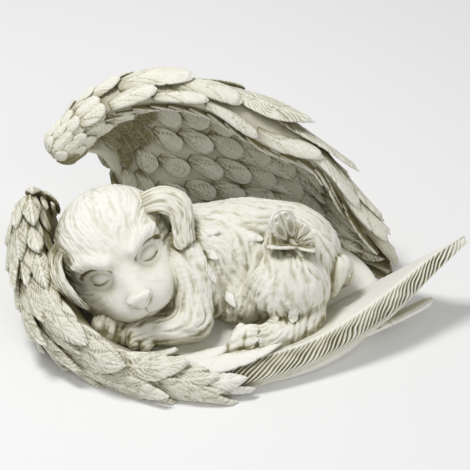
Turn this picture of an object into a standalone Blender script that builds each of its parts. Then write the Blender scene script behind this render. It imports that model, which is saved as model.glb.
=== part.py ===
"""Sleeping puppy curled between two angel wings, cast as one piece, with a butterfly on its hip.

The statue is one casting. It is modelled from rings, lofts and ellipsoids, fused by a voxel
remesh, thinned to facets and cut flat where it stands. The viewer stands at -Y and the puppy's
head is to the left. All guide points are shares of the statue's length, in units of 1/250 of it.
"""

from dataclasses import dataclass, replace
from math import pi

import bmesh
import bpy
import numpy as np
from mathutils import Matrix

LENGTH = 0.250
GUIDE_LENGTH = 250.0
UNIT = LENGTH / GUIDE_LENGTH

FLOOR_TOP = 10.0
FLOOR_CENTRE = (-14.0, 1.0)
FLOOR_RADII = (93.0, 69.0)
FLOOR_UNDER = -4.0
WING_WALL = 5.0
PLUME_THICK = 2.4
DETAIL = 1.15
SKIN_EDGE = 0.02
FUR_HEIGHT = 1.1
LOCK_WIDTH = 0.2
FACETS = 9600
STONE_COLOUR = (0.70, 0.67, 0.55, 1.0)
STONE_ROUGHNESS = 0.85


def unit_rows(vectors):
    """Each row scaled to length one."""
    lengths = np.linalg.norm(vectors, axis=-1, keepdims=True)
    return vectors / np.maximum(lengths, 1e-9)


def read_rows(rows, where):
    """A smooth curve through each row's evenly spaced points, read at one place from 0 to 1.

    Past either end the curve runs straight on.
    """
    last = rows.shape[1] - 1
    before = 2 * rows[:, :1] - rows[:, 1:2]
    after = 2 * rows[:, -1:] - rows[:, -2:-1]
    points = np.concatenate([before, rows, after], axis=1)
    place = np.asarray(where, float) * last
    inside = np.clip(place, 0, last)
    cell = np.minimum(inside.astype(int), last - 1)
    f = (inside - cell)[:, None]
    row = np.arange(len(place))
    a, b, c, d = (points[row, cell + step] for step in range(4))
    slope = np.where(f > 0.5, d - b, c - a) / 2
    curve = 2 * b + (c - a) * f + (2 * a - 5 * b + 4 * c - d) * f**2 + (3 * b - 3 * c + d - a) * f**3
    return 0.5 * curve + (place - inside)[:, None] * slope


def curve_through(points, count):
    """Points spread evenly along a smooth curve through the given ones."""
    points = np.asarray(points, float)[None]
    where = np.linspace(0, 1, count)
    return read_rows(np.repeat(points, count, axis=0), where)


class Skin:
    """A smooth sheet hung on guide curves: s runs along the wing, t across it."""

    def __init__(self, guides, side):
        self.guides = np.stack([np.asarray(guide, float) for guide in guides], axis=1)
        self.side = side

    def at(self, s, t):
        s, t = np.broadcast_arrays(np.asarray(s, float), np.asarray(t, float))
        stations, across, _ = self.guides.shape
        rows = np.repeat(self.guides.reshape(1, stations, -1), s.size, axis=0)
        sections = read_rows(rows, s.ravel()).reshape(s.size, across, 3)
        return read_rows(sections, t.ravel()).reshape(s.shape + (3,))

    def normal(self, s, t):
        step = SKIN_EDGE / 2
        t = np.clip(t, SKIN_EDGE, 1 - SKIN_EDGE)
        along = self.at(s + step, t) - self.at(s - step, t)
        across = self.at(s, t + step) - self.at(s, t - step)
        return self.side * unit_rows(np.cross(along, across))

    def set_off(self, distance):
        """The skin's other face, at some distance behind it."""
        stations, across, _ = self.guides.shape
        s = np.repeat(np.linspace(0, 1, stations)[:, None], across, axis=1)
        t = np.repeat(np.linspace(0, 1, across)[None], stations, axis=0)
        moved = self.guides - self.normal(s, t) * distance
        return Skin(list(moved.transpose(1, 0, 2)), -self.side)


BACK_RIM = [
    (-99, 29, 87),
    (-78, 37, 100.5),
    (-50, 42, 108),
    (-18, 41, 104),
    (14, 40, 82),
    (42, 37, 70),
    (63, 30, 41),
    (89, 24, 9),
]
BACK_CREST = [
    (-99, 38, 88),
    (-77, 50, 105),
    (-50, 58, 111),
    (-18, 58, 106.5),
    (14, 54, 93.5),
    (40, 46, 74),
    (60, 36, 47),
    (88, 27, 9),
]
BACK_FOOT = [
    (-95, 40, 80),
    (-72, 48, 68),
    (-56, 58, 10),
    (-22, 65, 5),
    (12, 65, 5),
    (40, 56, 5),
    (64, 38, 5),
    (86, 26, 5),
]
FRONT_INNER = [
    (-96, 32, 10),
    (-101, 16, 42),
    (-90, -8, 12),
    (-74, -34, 8),
    (-50, -46, 8),
    (-22, -46, 9),
    (12, -38, 10),
    (46, -14, 11),
    (84, 12, 14),
    (106, 6, 35),
    (123, 4, 47),
]
FRONT_CREST = [
    (-103, 34, 42),
    (-112, 12, 68),
    (-102, -14, 52),
    (-87, -43, 41),
    (-60, -61, 21),
    (-27, -64, 14),
    (8, -58, 14),
    (42, -47, 19),
    (75, -29, 31),
    (102, -10, 42),
    (122, 3, 48),
]
FRONT_OUTER = [
    (-108, 34, 32),
    (-121, 8, 54),
    (-119, -16, 36),
    (-104, -47, 21),
    (-67, -67, 11),
    (-28, -74, 8),
    (10, -69, 10),
    (46, -55, 15),
    (81, -35, 26),
    (106, -14, 37),
    (124, 1, 46),
]
FRONT_UNDER = [
    (-104, 34, 2),
    (-115, 8, 26),
    (-108, -20, 2),
    (-90, -48, 0),
    (-61, -66, 0),
    (-27, -73, 1),
    (9, -67, 2),
    (45, -53, 7),
    (79, -34, 19),
    (104, -13, 33),
    (123, 1, 44),
]
FRONT_KEEL = [
    (-97, 30, 0),
    (-102, 16, 26),
    (-88, -8, 0),
    (-72, -32, 0),
    (-48, -42, 0),
    (-20, -42, 0),
    (12, -34, 0),
    (46, -10, 2),
    (84, 8, 7),
    (106, 3, 30),
    (122, 3, 44),
]


def sagged(guide, other, share, back):
    """A guide curve part of the way from one to another, set back by some units."""
    first, second = np.asarray(guide, float), np.asarray(other, float)
    return first + (second - first) * share + np.array([0.0, back, 0.0])


BACK_LOW = sagged(BACK_FOOT, BACK_CREST, 0.33, 6.0)
BACK_HIGH = sagged(BACK_FOOT, BACK_CREST, 0.70, 7.0)
BACK_INSIDE = Skin([BACK_FOOT, BACK_LOW, BACK_HIGH, BACK_CREST, BACK_RIM], 1)
BACK_OUTSIDE = BACK_INSIDE.set_off(WING_WALL)
FRONT_SKIN = Skin([FRONT_INNER, FRONT_CREST, FRONT_OUTER, FRONT_UNDER], -1)


def loft(rings):
    """Points and faces of a closed body through rings of equal count, its ends capped."""
    count, around, _ = rings.shape
    index = np.arange(count * around).reshape(count, around)
    turned = np.roll(index, -1, axis=1)
    corners = (index[:-1], turned[:-1], turned[1:], index[1:])
    sides = np.stack(corners, axis=-1).reshape(-1, 4)
    faces = [tuple(side) for side in sides.tolist()]
    faces.append(tuple(index[0][::-1].tolist()))
    faces.append(tuple(index[-1].tolist()))
    return rings.reshape(-1, 3), faces


def tube(points, radii, around=12):
    """A round limb along a smooth curve, with rounded ends."""
    ends = 4
    count = 10
    centres = curve_through(points, count)
    sizes = curve_through(np.asarray(radii, float)[:, None], count)[:, 0]
    turn = np.linspace(0, pi / 2, ends + 1)[1:]
    first = centres[0] - unit_rows(centres[1] - centres[0]) * sizes[0] * np.sin(turn)[::-1, None]
    final = centres[-1] + unit_rows(centres[-1] - centres[-2]) * sizes[-1] * np.sin(turn)[:, None]
    sizes = np.concatenate([sizes[0] * np.cos(turn)[::-1], sizes, sizes[-1] * np.cos(turn)])
    centres = np.concatenate([first, centres, final])
    tangent = unit_rows(np.gradient(centres, axis=0))
    across = unit_rows(np.cross(tangent, np.array([0.13, 0.21, 0.97])))
    over = np.cross(across, tangent)
    angle = np.linspace(0, 2 * pi, around, endpoint=False)
    wave = np.cos(angle)[None, :, None] * across[:, None] + np.sin(angle)[None, :, None] * over[:, None]
    return loft(centres[:, None] + np.maximum(sizes, 0.05)[:, None, None] * wave)


def ball(centre, radii, axes=None):
    """An ellipsoid with its own axes as the rows of a matrix."""
    axes = np.eye(3) if axes is None else np.asarray(axes, float)
    steps, around = 12, 18
    lift = np.linspace(-pi / 2, pi / 2, steps + 2)[1:-1]
    angle = np.linspace(0, 2 * pi, around, endpoint=False)
    flat = np.cos(lift)[:, None]
    local = np.stack(
        [flat * np.cos(angle), flat * np.sin(angle), np.repeat(np.sin(lift)[:, None], around, axis=1)],
        axis=-1,
    )
    turned = (local * np.asarray(radii, float)) @ axes + np.asarray(centre, float)
    return loft(turned)


@dataclass(frozen=True)
class Plume:
    """One feather: how wide, how far its tip stands off, how hollow and how pointed it is."""

    length: float
    width: float
    root_lift: float = -0.6
    tip_lift: float = 2.6
    camber: float = 1.2
    round_from: float = 0.55
    root_width: float = 0.6
    thick: float = PLUME_THICK

    def half_width(self, u):
        rise = self.root_width + (1 - self.root_width) * np.sin(pi / 2 * np.clip(u / self.round_from, 0, 1))
        past = np.clip((u - self.round_from) / (1 - self.round_from), 0, 1)
        return self.width / 2 * rise * np.sqrt(np.clip(1 - past**2.2, 0.004, 1))


def plume_on(skin, s, t, heading, plume, steps=9):
    """A feather laid on a skin from (s, t), as a closed body that follows the skin's curve."""
    u = np.linspace(0, 1, steps)
    reach = 0.1
    for _ in range(3):
        path = skin.at(s + heading[0] * reach * u, t + heading[1] * reach * u)
        reach *= plume.length / np.linalg.norm(np.diff(path, axis=0), axis=1).sum()
    here, there = s + heading[0] * reach * u, t + heading[1] * reach * u
    path = skin.at(here, there)
    return plume_along(path, skin.normal(here, there), plume)


def plume_along(path, normal, plume):
    """A feather along a path, its upper side turned to the normals."""
    u = np.linspace(0, 1, len(path))
    tangent = unit_rows(np.gradient(path, axis=0))
    side = unit_rows(np.cross(normal, tangent))
    lift = plume.root_lift + (plume.tip_lift - plume.root_lift) * u**1.3
    across = np.array([-1, -0.55, 0, 0.55, 1, 0.55, 0, -0.55])
    upper = np.array([0, 1, 1, 1, 0, 0, 0, 0])
    height = plume.camber * (1 - across**2) + plume.thick * (upper - 0.5) * (np.abs(across) < 1)
    widths = plume.half_width(u)
    rings = (
        path[:, None]
        + side[:, None] * (widths[:, None] * across)[..., None]
        + normal[:, None] * (lift[:, None] + height)[..., None]
    )
    return loft(rings)


@dataclass(frozen=True)
class Row:
    """Feathers in a line on a skin, from one place to another, each value running evenly."""

    start: tuple
    end: tuple
    count: int
    heading: tuple
    length: tuple
    width: tuple
    turn: float = 0.0
    tip_lift: float = 2.6
    round_from: float = 0.55
    root_width: float = 0.6

    def bodies(self, skin):
        for number in range(self.count):
            share = number / max(self.count - 1, 1)
            s = self.start[0] + (self.end[0] - self.start[0]) * share
            t = self.start[1] + (self.end[1] - self.start[1]) * share
            heading = (self.heading[0], self.heading[1] + self.turn * share)
            plume = Plume(
                length=self.length[0] + (self.length[1] - self.length[0]) * share,
                width=self.width[0] + (self.width[1] - self.width[0]) * share,
                tip_lift=self.tip_lift,
                round_from=self.round_from,
                root_width=self.root_width,
            )
            yield plume_on(skin, s, t, heading, plume)


# Across the front skin, 1/3 is the crest, 2/3 the outer face and 1 the lower edge.
FRONT_ROWS = [
    Row((0.02, 0.98), (0.40, 0.99), 9, (1, 0.10), (22, 34), (12, 16), tip_lift=2.6),
    Row((0.04, 0.80), (0.44, 0.86), 8, (1, 0.25), (22, 42), (13, 19), tip_lift=3.2),
    Row((0.03, 0.62), (0.46, 0.72), 8, (1, 0.20), (20, 44), (12, 20), tip_lift=3.2),
    Row((0.04, 0.46), (0.45, 0.52), 8, (1, 0.14), (18, 46), (11, 20), tip_lift=3.2),
    Row((0.05, 0.32), (0.40, 0.36), 8, (1, 0.08), (15, 44), (10, 18), tip_lift=3.0),
    Row((0.06, 0.21), (0.30, 0.24), 6, (1, 0.06), (13, 24), (8, 12), tip_lift=2.0),
]
TRAY_ROWS = [
    Row((0.60, 0.55), (0.50, 0.80), 2, (1, 0.05), (52, 46), (17, 16)),
    Row((0.44, 0.30), (0.52, 0.40), 2, (1, 0.02), (48, 64), (15, 17)),
]
BACK_COVERTS = [
    Row((0.06, 0.92), (0.36, 0.95), 6, (1, -0.35), (14, 26), (10, 17), tip_lift=2.4),
    Row((0.06, 0.76), (0.44, 0.86), 7, (1, -0.35), (14, 28), (11, 18), tip_lift=2.4),
    Row((0.06, 0.58), (0.48, 0.74), 7, (1, -0.35), (15, 30), (12, 19), tip_lift=2.4),
    Row((0.08, 0.40), (0.50, 0.62), 7, (1, -0.35), (17, 30), (13, 19), tip_lift=2.4),
    Row((0.12, 0.24), (0.50, 0.50), 7, (1, -0.32), (20, 30), (14, 18), tip_lift=2.4),
    Row((0.22, 0.22), (0.50, 0.38), 5, (1, -0.30), (22, 28), (15, 17), tip_lift=2.4),
]
BACK_QUILLS = [
    Row((0.44, 0.92), (0.40, 0.20), 8, (1, -0.05), (78, 52), (14, 15), turn=-0.10, tip_lift=2.0),
    Row((0.58, 0.95), (0.60, 0.30), 5, (1, -0.02), (62, 40), (13, 12), turn=-0.08, tip_lift=1.6),
]
RIM_PLUMES = [
    Row((0.00, 0.55), (0.30, 0.70), 6, (1, 0.30), (16, 40), (11, 21)),
    Row((0.01, 0.72), (0.34, 0.82), 7, (1, 0.30), (15, 42), (11, 23)),
    Row((0.02, 0.88), (0.36, 0.93), 7, (1, 0.18), (15, 44), (11, 22)),
    Row((0.40, 0.90), (0.74, 0.86), 4, (1, 0.02), (60, 46), (19, 15), turn=-0.05),
    Row((0.36, 0.72), (0.72, 0.72), 4, (1, 0.08), (56, 42), (20, 15)),
]
BACK_SIDE_PLUMES = [
    Row((0.02, 0.36), (0.72, 0.54), 8, (1, 0.10), (26, 46), (18, 20), tip_lift=3.6),
    Row((0.20, 0.20), (0.76, 0.36), 7, (1, 0.08), (34, 44), (22, 20), tip_lift=3.6),
    Row((0.25, 0.06), (0.80, 0.20), 6, (1, 0.06), (38, 40), (22, 19), tip_lift=3.6),
]


def wing_wall():
    """The back wing's sheet as one body, its wall set off behind the inner skin."""
    stations, across = 40, 16
    s = np.repeat(np.linspace(0, 1, stations)[:, None], across, axis=1)
    t = np.repeat(np.linspace(0, 1, across)[None], stations, axis=0)
    inner = BACK_INSIDE.at(s, t)
    outer = BACK_OUTSIDE.at(s, t)
    return loft(np.concatenate([inner, outer[:, ::-1]], axis=1))


def wing_arm():
    """The thick leading edge of the back wing, from its rounded wrist along under the rim."""
    return tube([(-96, 35, 87), (-84, 41, 96), (-66, 47, 103), (-44, 50, 107)], (9.5, 8.5, 6.0, 3.5))


def under_feather():
    """The feather whose tip shows below the front wing's blade."""
    path = curve_through([(62, -36, 10), (86, -22, 12), (106, -11, 16)], 9)
    return plume_along(path, facing(path, (0.3, -0.5, -0.8)), Plume(52, 16, 0, 0, 1.0, 0.6, 0.7, 4.0))


def front_wall():
    """The front wing's body, from its keel over the crest to its lower edge."""
    stations, across = 60, 18
    s = np.repeat(np.linspace(0, 1, stations)[:, None], across, axis=1)
    t = np.repeat(np.linspace(0, 1, across)[None], stations, axis=0)
    keel = curve_through(FRONT_KEEL, stations)[:, None]
    return loft(np.concatenate([FRONT_SKIN.at(s, t), keel], axis=1)[:, ::-1])


def floor_slab():
    """The oval floor that everything stands on, its edge drawn in towards the ground."""
    angle = np.linspace(0, 2 * pi, 64, endpoint=False)
    levels = [(FLOOR_UNDER, 0.96), (2.0, 0.99), (7.0, 1.0), (FLOOR_TOP, 0.98)]
    rings = [
        np.stack(
            [
                FLOOR_CENTRE[0] + FLOOR_RADII[0] * share * np.cos(angle),
                FLOOR_CENTRE[1] + FLOOR_RADII[1] * share * np.sin(angle),
                np.full_like(angle, level),
            ],
            axis=-1,
        )
        for level, share in levels
    ]
    return loft(np.stack(rings))


HEAD_CENTRE = np.array([-67.0, -2.0, 44.0])
HEAD_AXES = unit_rows(np.array([[0.31, -0.95, 0.06], [0.88, 0.29, 0.37], [-0.37, -0.06, 0.93]]))


def on_head(forward, left, up):
    """A point given along the head's own axes."""
    return HEAD_CENTRE + np.array([forward, left, up]) @ HEAD_AXES


def head_bodies():
    """Skull, muzzle, nose, lids, brows and cheeks."""
    yield ball(HEAD_CENTRE, (34, 33, 33), HEAD_AXES)
    yield ball(on_head(22, 0, -8), (19, 17, 13), HEAD_AXES)
    yield ball(on_head(32, 0, -8), (14, 14.5, 10), HEAD_AXES)
    yield ball(on_head(33, -7, -12), (11, 8.5, 8), HEAD_AXES)
    yield ball(on_head(33, 7, -12), (11, 8.5, 8), HEAD_AXES)
    yield ball(on_head(44, 0, -4), (4.5, 8, 4.5), HEAD_AXES)
    yield ball(on_head(26, 0, -18), (14, 10, 6), HEAD_AXES)
    for side in (-1, 1):
        yield ball(on_head(25, side * 17, 2.5), (6.0, 9.5, 6.5), HEAD_AXES)
        yield tube(
            [on_head(31, side * 7, 8), on_head(29.5, side * 16, 12), on_head(22, side * 25, 8)],
            (3.0, 3.6, 2.6),
        )
        yield ball(on_head(14, side * 22, -12), (14, 10, 12), HEAD_AXES)


def ear_bodies():
    """The near ear folded over at the head's right, and the far one lying along its left side."""
    near = curve_through([(-52, 0, 68), (-44, 2, 77), (-32, 0, 73), (-27, -5, 62), (-27, -9, 50)], 12)
    yield plume_along(near, facing(near, (0.5, -0.3, 1.0)), Plume(60, 24, 0, 0, 2.0, 0.55, 0.9, 4.2))
    far = curve_through([(-94, 4, 62), (-101, -4, 48), (-96, -18, 36), (-83, -31, 25)], 12)
    yield plume_along(far, facing(far, (-0.8, -0.5, 0.4)), Plume(60, 19, 0, 0, 1.5, 0.5, 0.8, 4.2))


def facing(path, towards):
    """Normals square to a path and turned as far as that allows to a given direction."""
    tangent = unit_rows(np.gradient(path, axis=0))
    towards = np.asarray(towards, float)
    return unit_rows(towards - (tangent @ towards)[:, None] * tangent)


def body_bodies():
    """Trunk, haunch, legs, paws and tail."""
    yield ball((-30, 2, 34), (31, 30, 27))
    yield ball((2, 9, 34), (44, 31, 28))
    yield ball((27, 4, 33), (29, 31, 28))
    yield ball((25, -15, 30), (24, 20, 23))
    yield ball((-24, -18, 28), (18, 17, 20))
    yield ball((-46, -10, 28), (20, 22, 20))
    yield ball((-38, -24, 19), (18, 15, 13))
    yield ball((6, -20, 20), (24, 20, 16))
    yield tube([(-14, -24, 26), (-16, -37, 21), (-34, -41, 20), (-46, -42, 18)], (13, 11.5, 9.5, 9))
    yield ball((-55, -43, 17), (11, 9, 8.5))
    yield tube([(-66, -12, 20), (-70, -28, 20), (-70, -40, 18)], (11, 10, 9.5))
    yield tube([(36, -22, 22), (34, -32, 19), (18, -40, 18), (6, -43, 18)], (12, 11, 10, 9.5))
    yield ball((-2, -45, 17.5), (10, 9.5, 9))
    yield tube(
        [(44, 2, 16), (53, 1, 17), (59, 0, 25), (56, -3, 34), (50, -8, 31), (47, -12, 23)],
        (10, 9, 8, 7, 6, 3.5),
    )


def toe_bodies():
    """Toes as short ridges on the three paws that show."""
    for step in range(4):
        yield tube([(-60 + 1.5 * step, -50 + 3 * step, 15), (-66 + 2 * step, -46 + 4 * step, 15)], (3.4, 2.6))
    for step in range(4):
        yield tube([(-76 + 4.5 * step, -44, 22), (-76 + 4.5 * step, -48, 14)], (2.8, 3.0))
    for step in range(3):
        yield tube([(-4, -52 + 4.6 * step, 22), (-11, -51 + 4.6 * step, 16)], (3.4, 3.2))


def fur_bodies():
    """Locks of fur as low ridges that run with the coat over the haunch, the back and the crown."""
    for row in range(6):
        for step in range(4):
            turn = -1.0 + 0.34 * row + 0.17 * (step % 2)
            yield lock_on((25, -15, 30), (24, 20, 23), turn, 0.35 + 0.34 * step, 0.42)
    for row in range(5):
        for step in range(4):
            turn = -1.2 + 0.34 * row + 0.17 * (step % 2)
            yield lock_on((2, 9, 34), (44, 31, 28), turn, 0.25 + 0.26 * step, 0.3)
    for ring in range(2):
        for step in range(9):
            turn = -1.5 + 0.36 * step + 0.18 * ring
            yield lock_on(HEAD_CENTRE, (34, 33, 33), turn, 0.12 + 0.38 * ring, 0.42)


def lock_on(centre, radii, turn, lean, reach):
    """One lock on an ellipsoid: turn is its bearing round the top and lean its fall from the top."""
    fall = np.linspace(lean, lean + reach, 6)
    way = np.stack([np.sin(fall) * np.sin(turn), -np.sin(fall) * np.cos(turn), np.cos(fall)], axis=-1)
    path = np.asarray(centre, float) + way * np.asarray(radii, float)
    width = LOCK_WIDTH * min(radii)
    lock = Plume(10, width, -1.0, 0.2, FUR_HEIGHT, 0.4, 0.4, 1.6)
    return plume_along(path, unit_rows(way / np.asarray(radii, float)), lock)


BUTTERFLY_SEAT = np.array([26.0, -14.0, 56.0])


def butterfly_bodies():
    """Four wings and a body, standing on the hip."""
    wing = Plume(17, 15, 0, 0, 0.8, 0.6, 0.35, 2.6)
    small = replace(wing, length=13, width=9)
    for tip, shape, towards in (
        ((-7, 2, 19), wing, (0.2, -0.8, 0.5)),
        ((11, 2, 11), small, (-0.2, -0.8, 0.5)),
        ((-13, -8, 3), wing, (0.1, 0.5, 0.8)),
        ((13, -6, 0), small, (0.1, 0.4, 0.8)),
    ):
        path = np.linspace(BUTTERFLY_SEAT, BUTTERFLY_SEAT + np.array(tip), 9)
        yield plume_along(path, facing(path, towards), shape)
    yield tube([BUTTERFLY_SEAT + (-3, 4, 3), BUTTERFLY_SEAT, BUTTERFLY_SEAT + (6, -7, -6)], (1.8, 2.6, 1.8))
    yield ball(BUTTERFLY_SEAT + (0, 2, -6), (6, 5, 7))


def mesh_of(name, bodies):
    """A mesh that holds several closed bodies, in metres."""
    points, faces, start = [], [], 0
    for body_points, body_faces in bodies:
        points.append(body_points)
        faces.extend(tuple(start + corner for corner in face) for face in body_faces)
        start += len(body_points)
    mesh = bpy.data.meshes.new(name)
    mesh.from_pydata((np.concatenate(points) * UNIT).tolist(), [], faces)
    shaped = bmesh.new()
    shaped.from_mesh(mesh)
    bmesh.ops.recalc_face_normals(shaped, faces=shaped.faces)
    shaped.to_mesh(mesh)
    shaped.free()
    return mesh


def show(name, mesh):
    thing = bpy.data.objects.new(name, mesh)
    bpy.context.scene.collection.objects.link(thing)
    return thing


def helper(name, mesh):
    """An object that only helps to make another one."""
    thing = show(name, mesh)
    thing.hide_render = True
    thing.display_type = "WIRE"
    return thing


def remesh(thing, size):
    step = thing.modifiers.new("Fuse", "REMESH")
    step.mode = "VOXEL"
    step.voxel_size = size * UNIT


def smooth(thing, rounds):
    step = thing.modifiers.new("Soften", "SMOOTH")
    step.factor = 0.5
    step.iterations = rounds


def settled(thing):
    """The object's mesh with its modifiers worked out."""
    bpy.context.view_layer.update()
    graph = bpy.context.evaluated_depsgraph_get()
    return bpy.data.meshes.new_from_object(thing.evaluated_get(graph), depsgraph=graph)


def puppy():
    """The puppy's forms fused and softened, then its toes and locks of fur laid on."""
    forms = [*head_bodies(), *ear_bodies(), *body_bodies()]
    soft = helper("puppy_form", mesh_of("puppy_form", forms))
    remesh(soft, DETAIL)
    smooth(soft, 7)
    return soft


def wings():
    """Both wings with their feathers, and the floor between them."""
    bodies = [wing_wall(), wing_arm(), front_wall(), under_feather(), floor_slab()]
    for skin, rows in (
        (FRONT_SKIN, FRONT_ROWS + TRAY_ROWS),
        (BACK_INSIDE, BACK_COVERTS + BACK_QUILLS),
        (BACK_OUTSIDE, RIM_PLUMES + BACK_SIDE_PLUMES),
    ):
        for row in rows:
            bodies.extend(row.bodies(skin))
    return bodies


def joined(name, meshes):
    """One mesh that holds all the given ones."""
    whole = bmesh.new()
    for mesh in meshes:
        whole.from_mesh(mesh)
    mesh = bpy.data.meshes.new(name)
    whole.to_mesh(mesh)
    whole.free()
    return mesh


def ground_block():
    """What lies under the ground plane, to cut the casting flat."""
    block = bmesh.new()
    bmesh.ops.create_cube(block, size=2 * LENGTH)
    bmesh.ops.translate(block, verts=block.verts, vec=(0, 0, -LENGTH))
    mesh = bpy.data.meshes.new("ground_block")
    block.to_mesh(mesh)
    block.free()
    return helper("ground_block", mesh)


def stone():
    """Pale cast stone."""
    finish = bpy.data.materials.new("cast_stone")
    finish.use_nodes = True
    surface = finish.node_tree.nodes["Principled BSDF"]
    surface.inputs["Base Color"].default_value = STONE_COLOUR
    surface.inputs["Roughness"].default_value = STONE_ROUGHNESS
    surface.inputs["Metallic"].default_value = 0.0
    return finish


def centred(mesh):
    """The mesh moved so that the middle of its box is over the origin."""
    points = np.empty(len(mesh.vertices) * 3)
    mesh.vertices.foreach_get("co", points)
    points = points.reshape(-1, 3)
    middle = (points.min(axis=0) + points.max(axis=0)) / 2
    mesh.transform(Matrix.Translation((-middle[0], -middle[1], 0)))
    print("moved by", [round(float(value) / UNIT, 3) for value in -middle[:2]])
    return mesh


def largest_body(mesh):
    """The mesh without the crumbs that a voxel step leaves beside a thin edge."""
    whole = bmesh.new()
    whole.from_mesh(mesh)
    left = set(whole.verts)
    groups = []
    while left:
        group = set()
        front = [left.pop()]
        while front:
            vertex = front.pop()
            group.add(vertex)
            near = {edge.other_vert(vertex) for edge in vertex.link_edges} & left
            left -= near
            front.extend(near)
        groups.append(group)
    crumbs = [vertex for group in sorted(groups, key=len)[:-1] for vertex in group]
    bmesh.ops.delete(whole, geom=crumbs, context="VERTS")
    whole.to_mesh(mesh)
    whole.free()
    return mesh


def casting():
    """Fuses everything, thins it to facets and cuts it flat."""
    meshes = [settled(puppy())]
    meshes.append(mesh_of("wings", wings()))
    meshes.append(mesh_of("relief", [*toe_bodies(), *fur_bodies(), *butterfly_bodies()]))
    rough = helper("casting_rough", joined("casting_rough", meshes))
    remesh(rough, DETAIL)
    smooth(rough, 1)
    fused = largest_body(settled(rough))
    statue = helper("casting_thin", fused)
    thin = statue.modifiers.new("Thin", "DECIMATE")
    fused.calc_loop_triangles()
    thin.ratio = FACETS / len(fused.loop_triangles)
    flat = statue.modifiers.new("Flat", "BOOLEAN")
    flat.operation = "DIFFERENCE"
    flat.solver = "EXACT"
    flat.object = ground_block()
    mesh = centred(settled(statue))
    whole = show("dog_angel_statue", mesh)
    mesh.materials.clear()
    mesh.materials.append(stone())
    return whole


def main():
    for thing in list(bpy.data.objects):
        bpy.data.objects.remove(thing, do_unlink=True)
    casting()


main()
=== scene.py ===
"""The looks of the dog angel statue: a puppy asleep between two wings, cast in pale stone.

Lengths in this file are millimetres in the statue's own guide frame, where the viewer stands at -Y
and the puppy's head is to the left. They become metres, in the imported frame, in StoneWork.piece.
"""

import logging
from collections.abc import Callable
from dataclasses import dataclass, field, replace
from enum import Enum
from math import pi, radians

import bpy
import numpy as np
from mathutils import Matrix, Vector


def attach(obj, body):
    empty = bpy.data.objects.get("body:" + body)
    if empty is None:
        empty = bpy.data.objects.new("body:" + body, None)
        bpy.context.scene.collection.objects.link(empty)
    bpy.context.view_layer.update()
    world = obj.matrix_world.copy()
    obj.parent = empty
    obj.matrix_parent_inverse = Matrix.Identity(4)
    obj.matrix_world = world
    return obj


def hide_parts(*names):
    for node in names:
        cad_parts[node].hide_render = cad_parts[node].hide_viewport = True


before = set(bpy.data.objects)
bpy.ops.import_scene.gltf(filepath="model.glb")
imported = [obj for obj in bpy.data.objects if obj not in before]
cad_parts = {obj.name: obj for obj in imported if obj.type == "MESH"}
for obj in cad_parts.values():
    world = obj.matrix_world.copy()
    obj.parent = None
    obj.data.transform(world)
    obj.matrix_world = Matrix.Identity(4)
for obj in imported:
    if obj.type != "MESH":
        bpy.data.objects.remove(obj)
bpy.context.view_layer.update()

LOG = logging.getLogger("statue")
Array = np.ndarray

MM = 0.001
NODE = "dog_angel_statue"
BODY = "root"
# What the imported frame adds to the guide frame, so that the statue's box stands over the origin.
CENTRING = np.array([1.651, 0.127, 0.0])
SEED = 7
COARSE = 1.0
LATTICE = 32
# A way that no limb of the statue runs along, to set a round limb's rings by.
NO_LIMB = np.array([0.13, 0.21, 0.97])
# Under this height low feathers are eased up off the ground.
LOW = 3.0


def unit_rows(vectors: Array) -> Array:
    """Each row scaled to length one."""
    return vectors / np.maximum(np.linalg.norm(vectors, axis=-1, keepdims=True), 1e-9)


def read_rows(rows: Array, where: Array) -> Array:
    """Reads a smooth curve through each row's evenly spaced points.

    The curve between two points is the cubic whose slope at each of them is half the step between
    its neighbours. Past either end it runs straight on.

    Args:
        rows: (rows, points, values) the points of one curve in each row.
        where: (rows,) the place to read on each curve, 0 at its start and 1 at its end.

    Returns:
        (rows, values) the curves' points.
    """
    last = rows.shape[1] - 1
    before = 2 * rows[:, :1] - rows[:, 1:2]
    after = 2 * rows[:, -1:] - rows[:, -2:-1]
    points = np.concatenate([before, rows, after], axis=1)
    place = np.asarray(where, float) * last
    inside = np.clip(place, 0, last)
    cell = np.minimum(inside.astype(int), last - 1)
    f = (inside - cell)[:, None]
    row = np.arange(len(place))
    a, b, c, d = (points[row, cell + step] for step in range(4))
    slope = np.where(f > 0.5, d - b, c - a) / 2
    curve = 2 * b + (c - a) * f + (2 * a - 5 * b + 4 * c - d) * f**2 + (3 * b - 3 * c + d - a) * f**3
    return 0.5 * curve + (place - inside)[:, None] * slope


def curve_through(points: list | tuple | Array, count: int) -> Array:
    """Points spread evenly, in the curve's own measure, along a smooth curve through the given ones.

    Args:
        points: the curve's own points.
        count: how many points to read.

    Returns:
        (count, values) the points read.
    """
    rows = np.repeat(np.asarray(points, float)[None], count, axis=0)
    return read_rows(rows, np.linspace(0, 1, count))


def smooth_noise(points: Array, size: float, seed: int) -> Array:
    """Soft noise in space: random values on a cubic lattice, blended along each axis.

    Args:
        points: (n, 3) where to read it.
        size: the lattice's step.
        seed: picks the values.

    Returns:
        (n,) values from about -1 to 1.
    """
    values = np.random.default_rng(seed).uniform(-1, 1, (LATTICE,) * 3).astype(np.float32)
    place = points / size
    cell = np.floor(place).astype(int)
    f = place - cell
    f = f * f * (3 - 2 * f)
    total = np.zeros(len(points), np.float32)
    for corner in np.ndindex(2, 2, 2):
        x, y, z = ((cell + corner) % LATTICE).T
        total += values[x, y, z] * np.prod(np.where(corner, f, 1 - f), axis=1)
    return total


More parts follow.
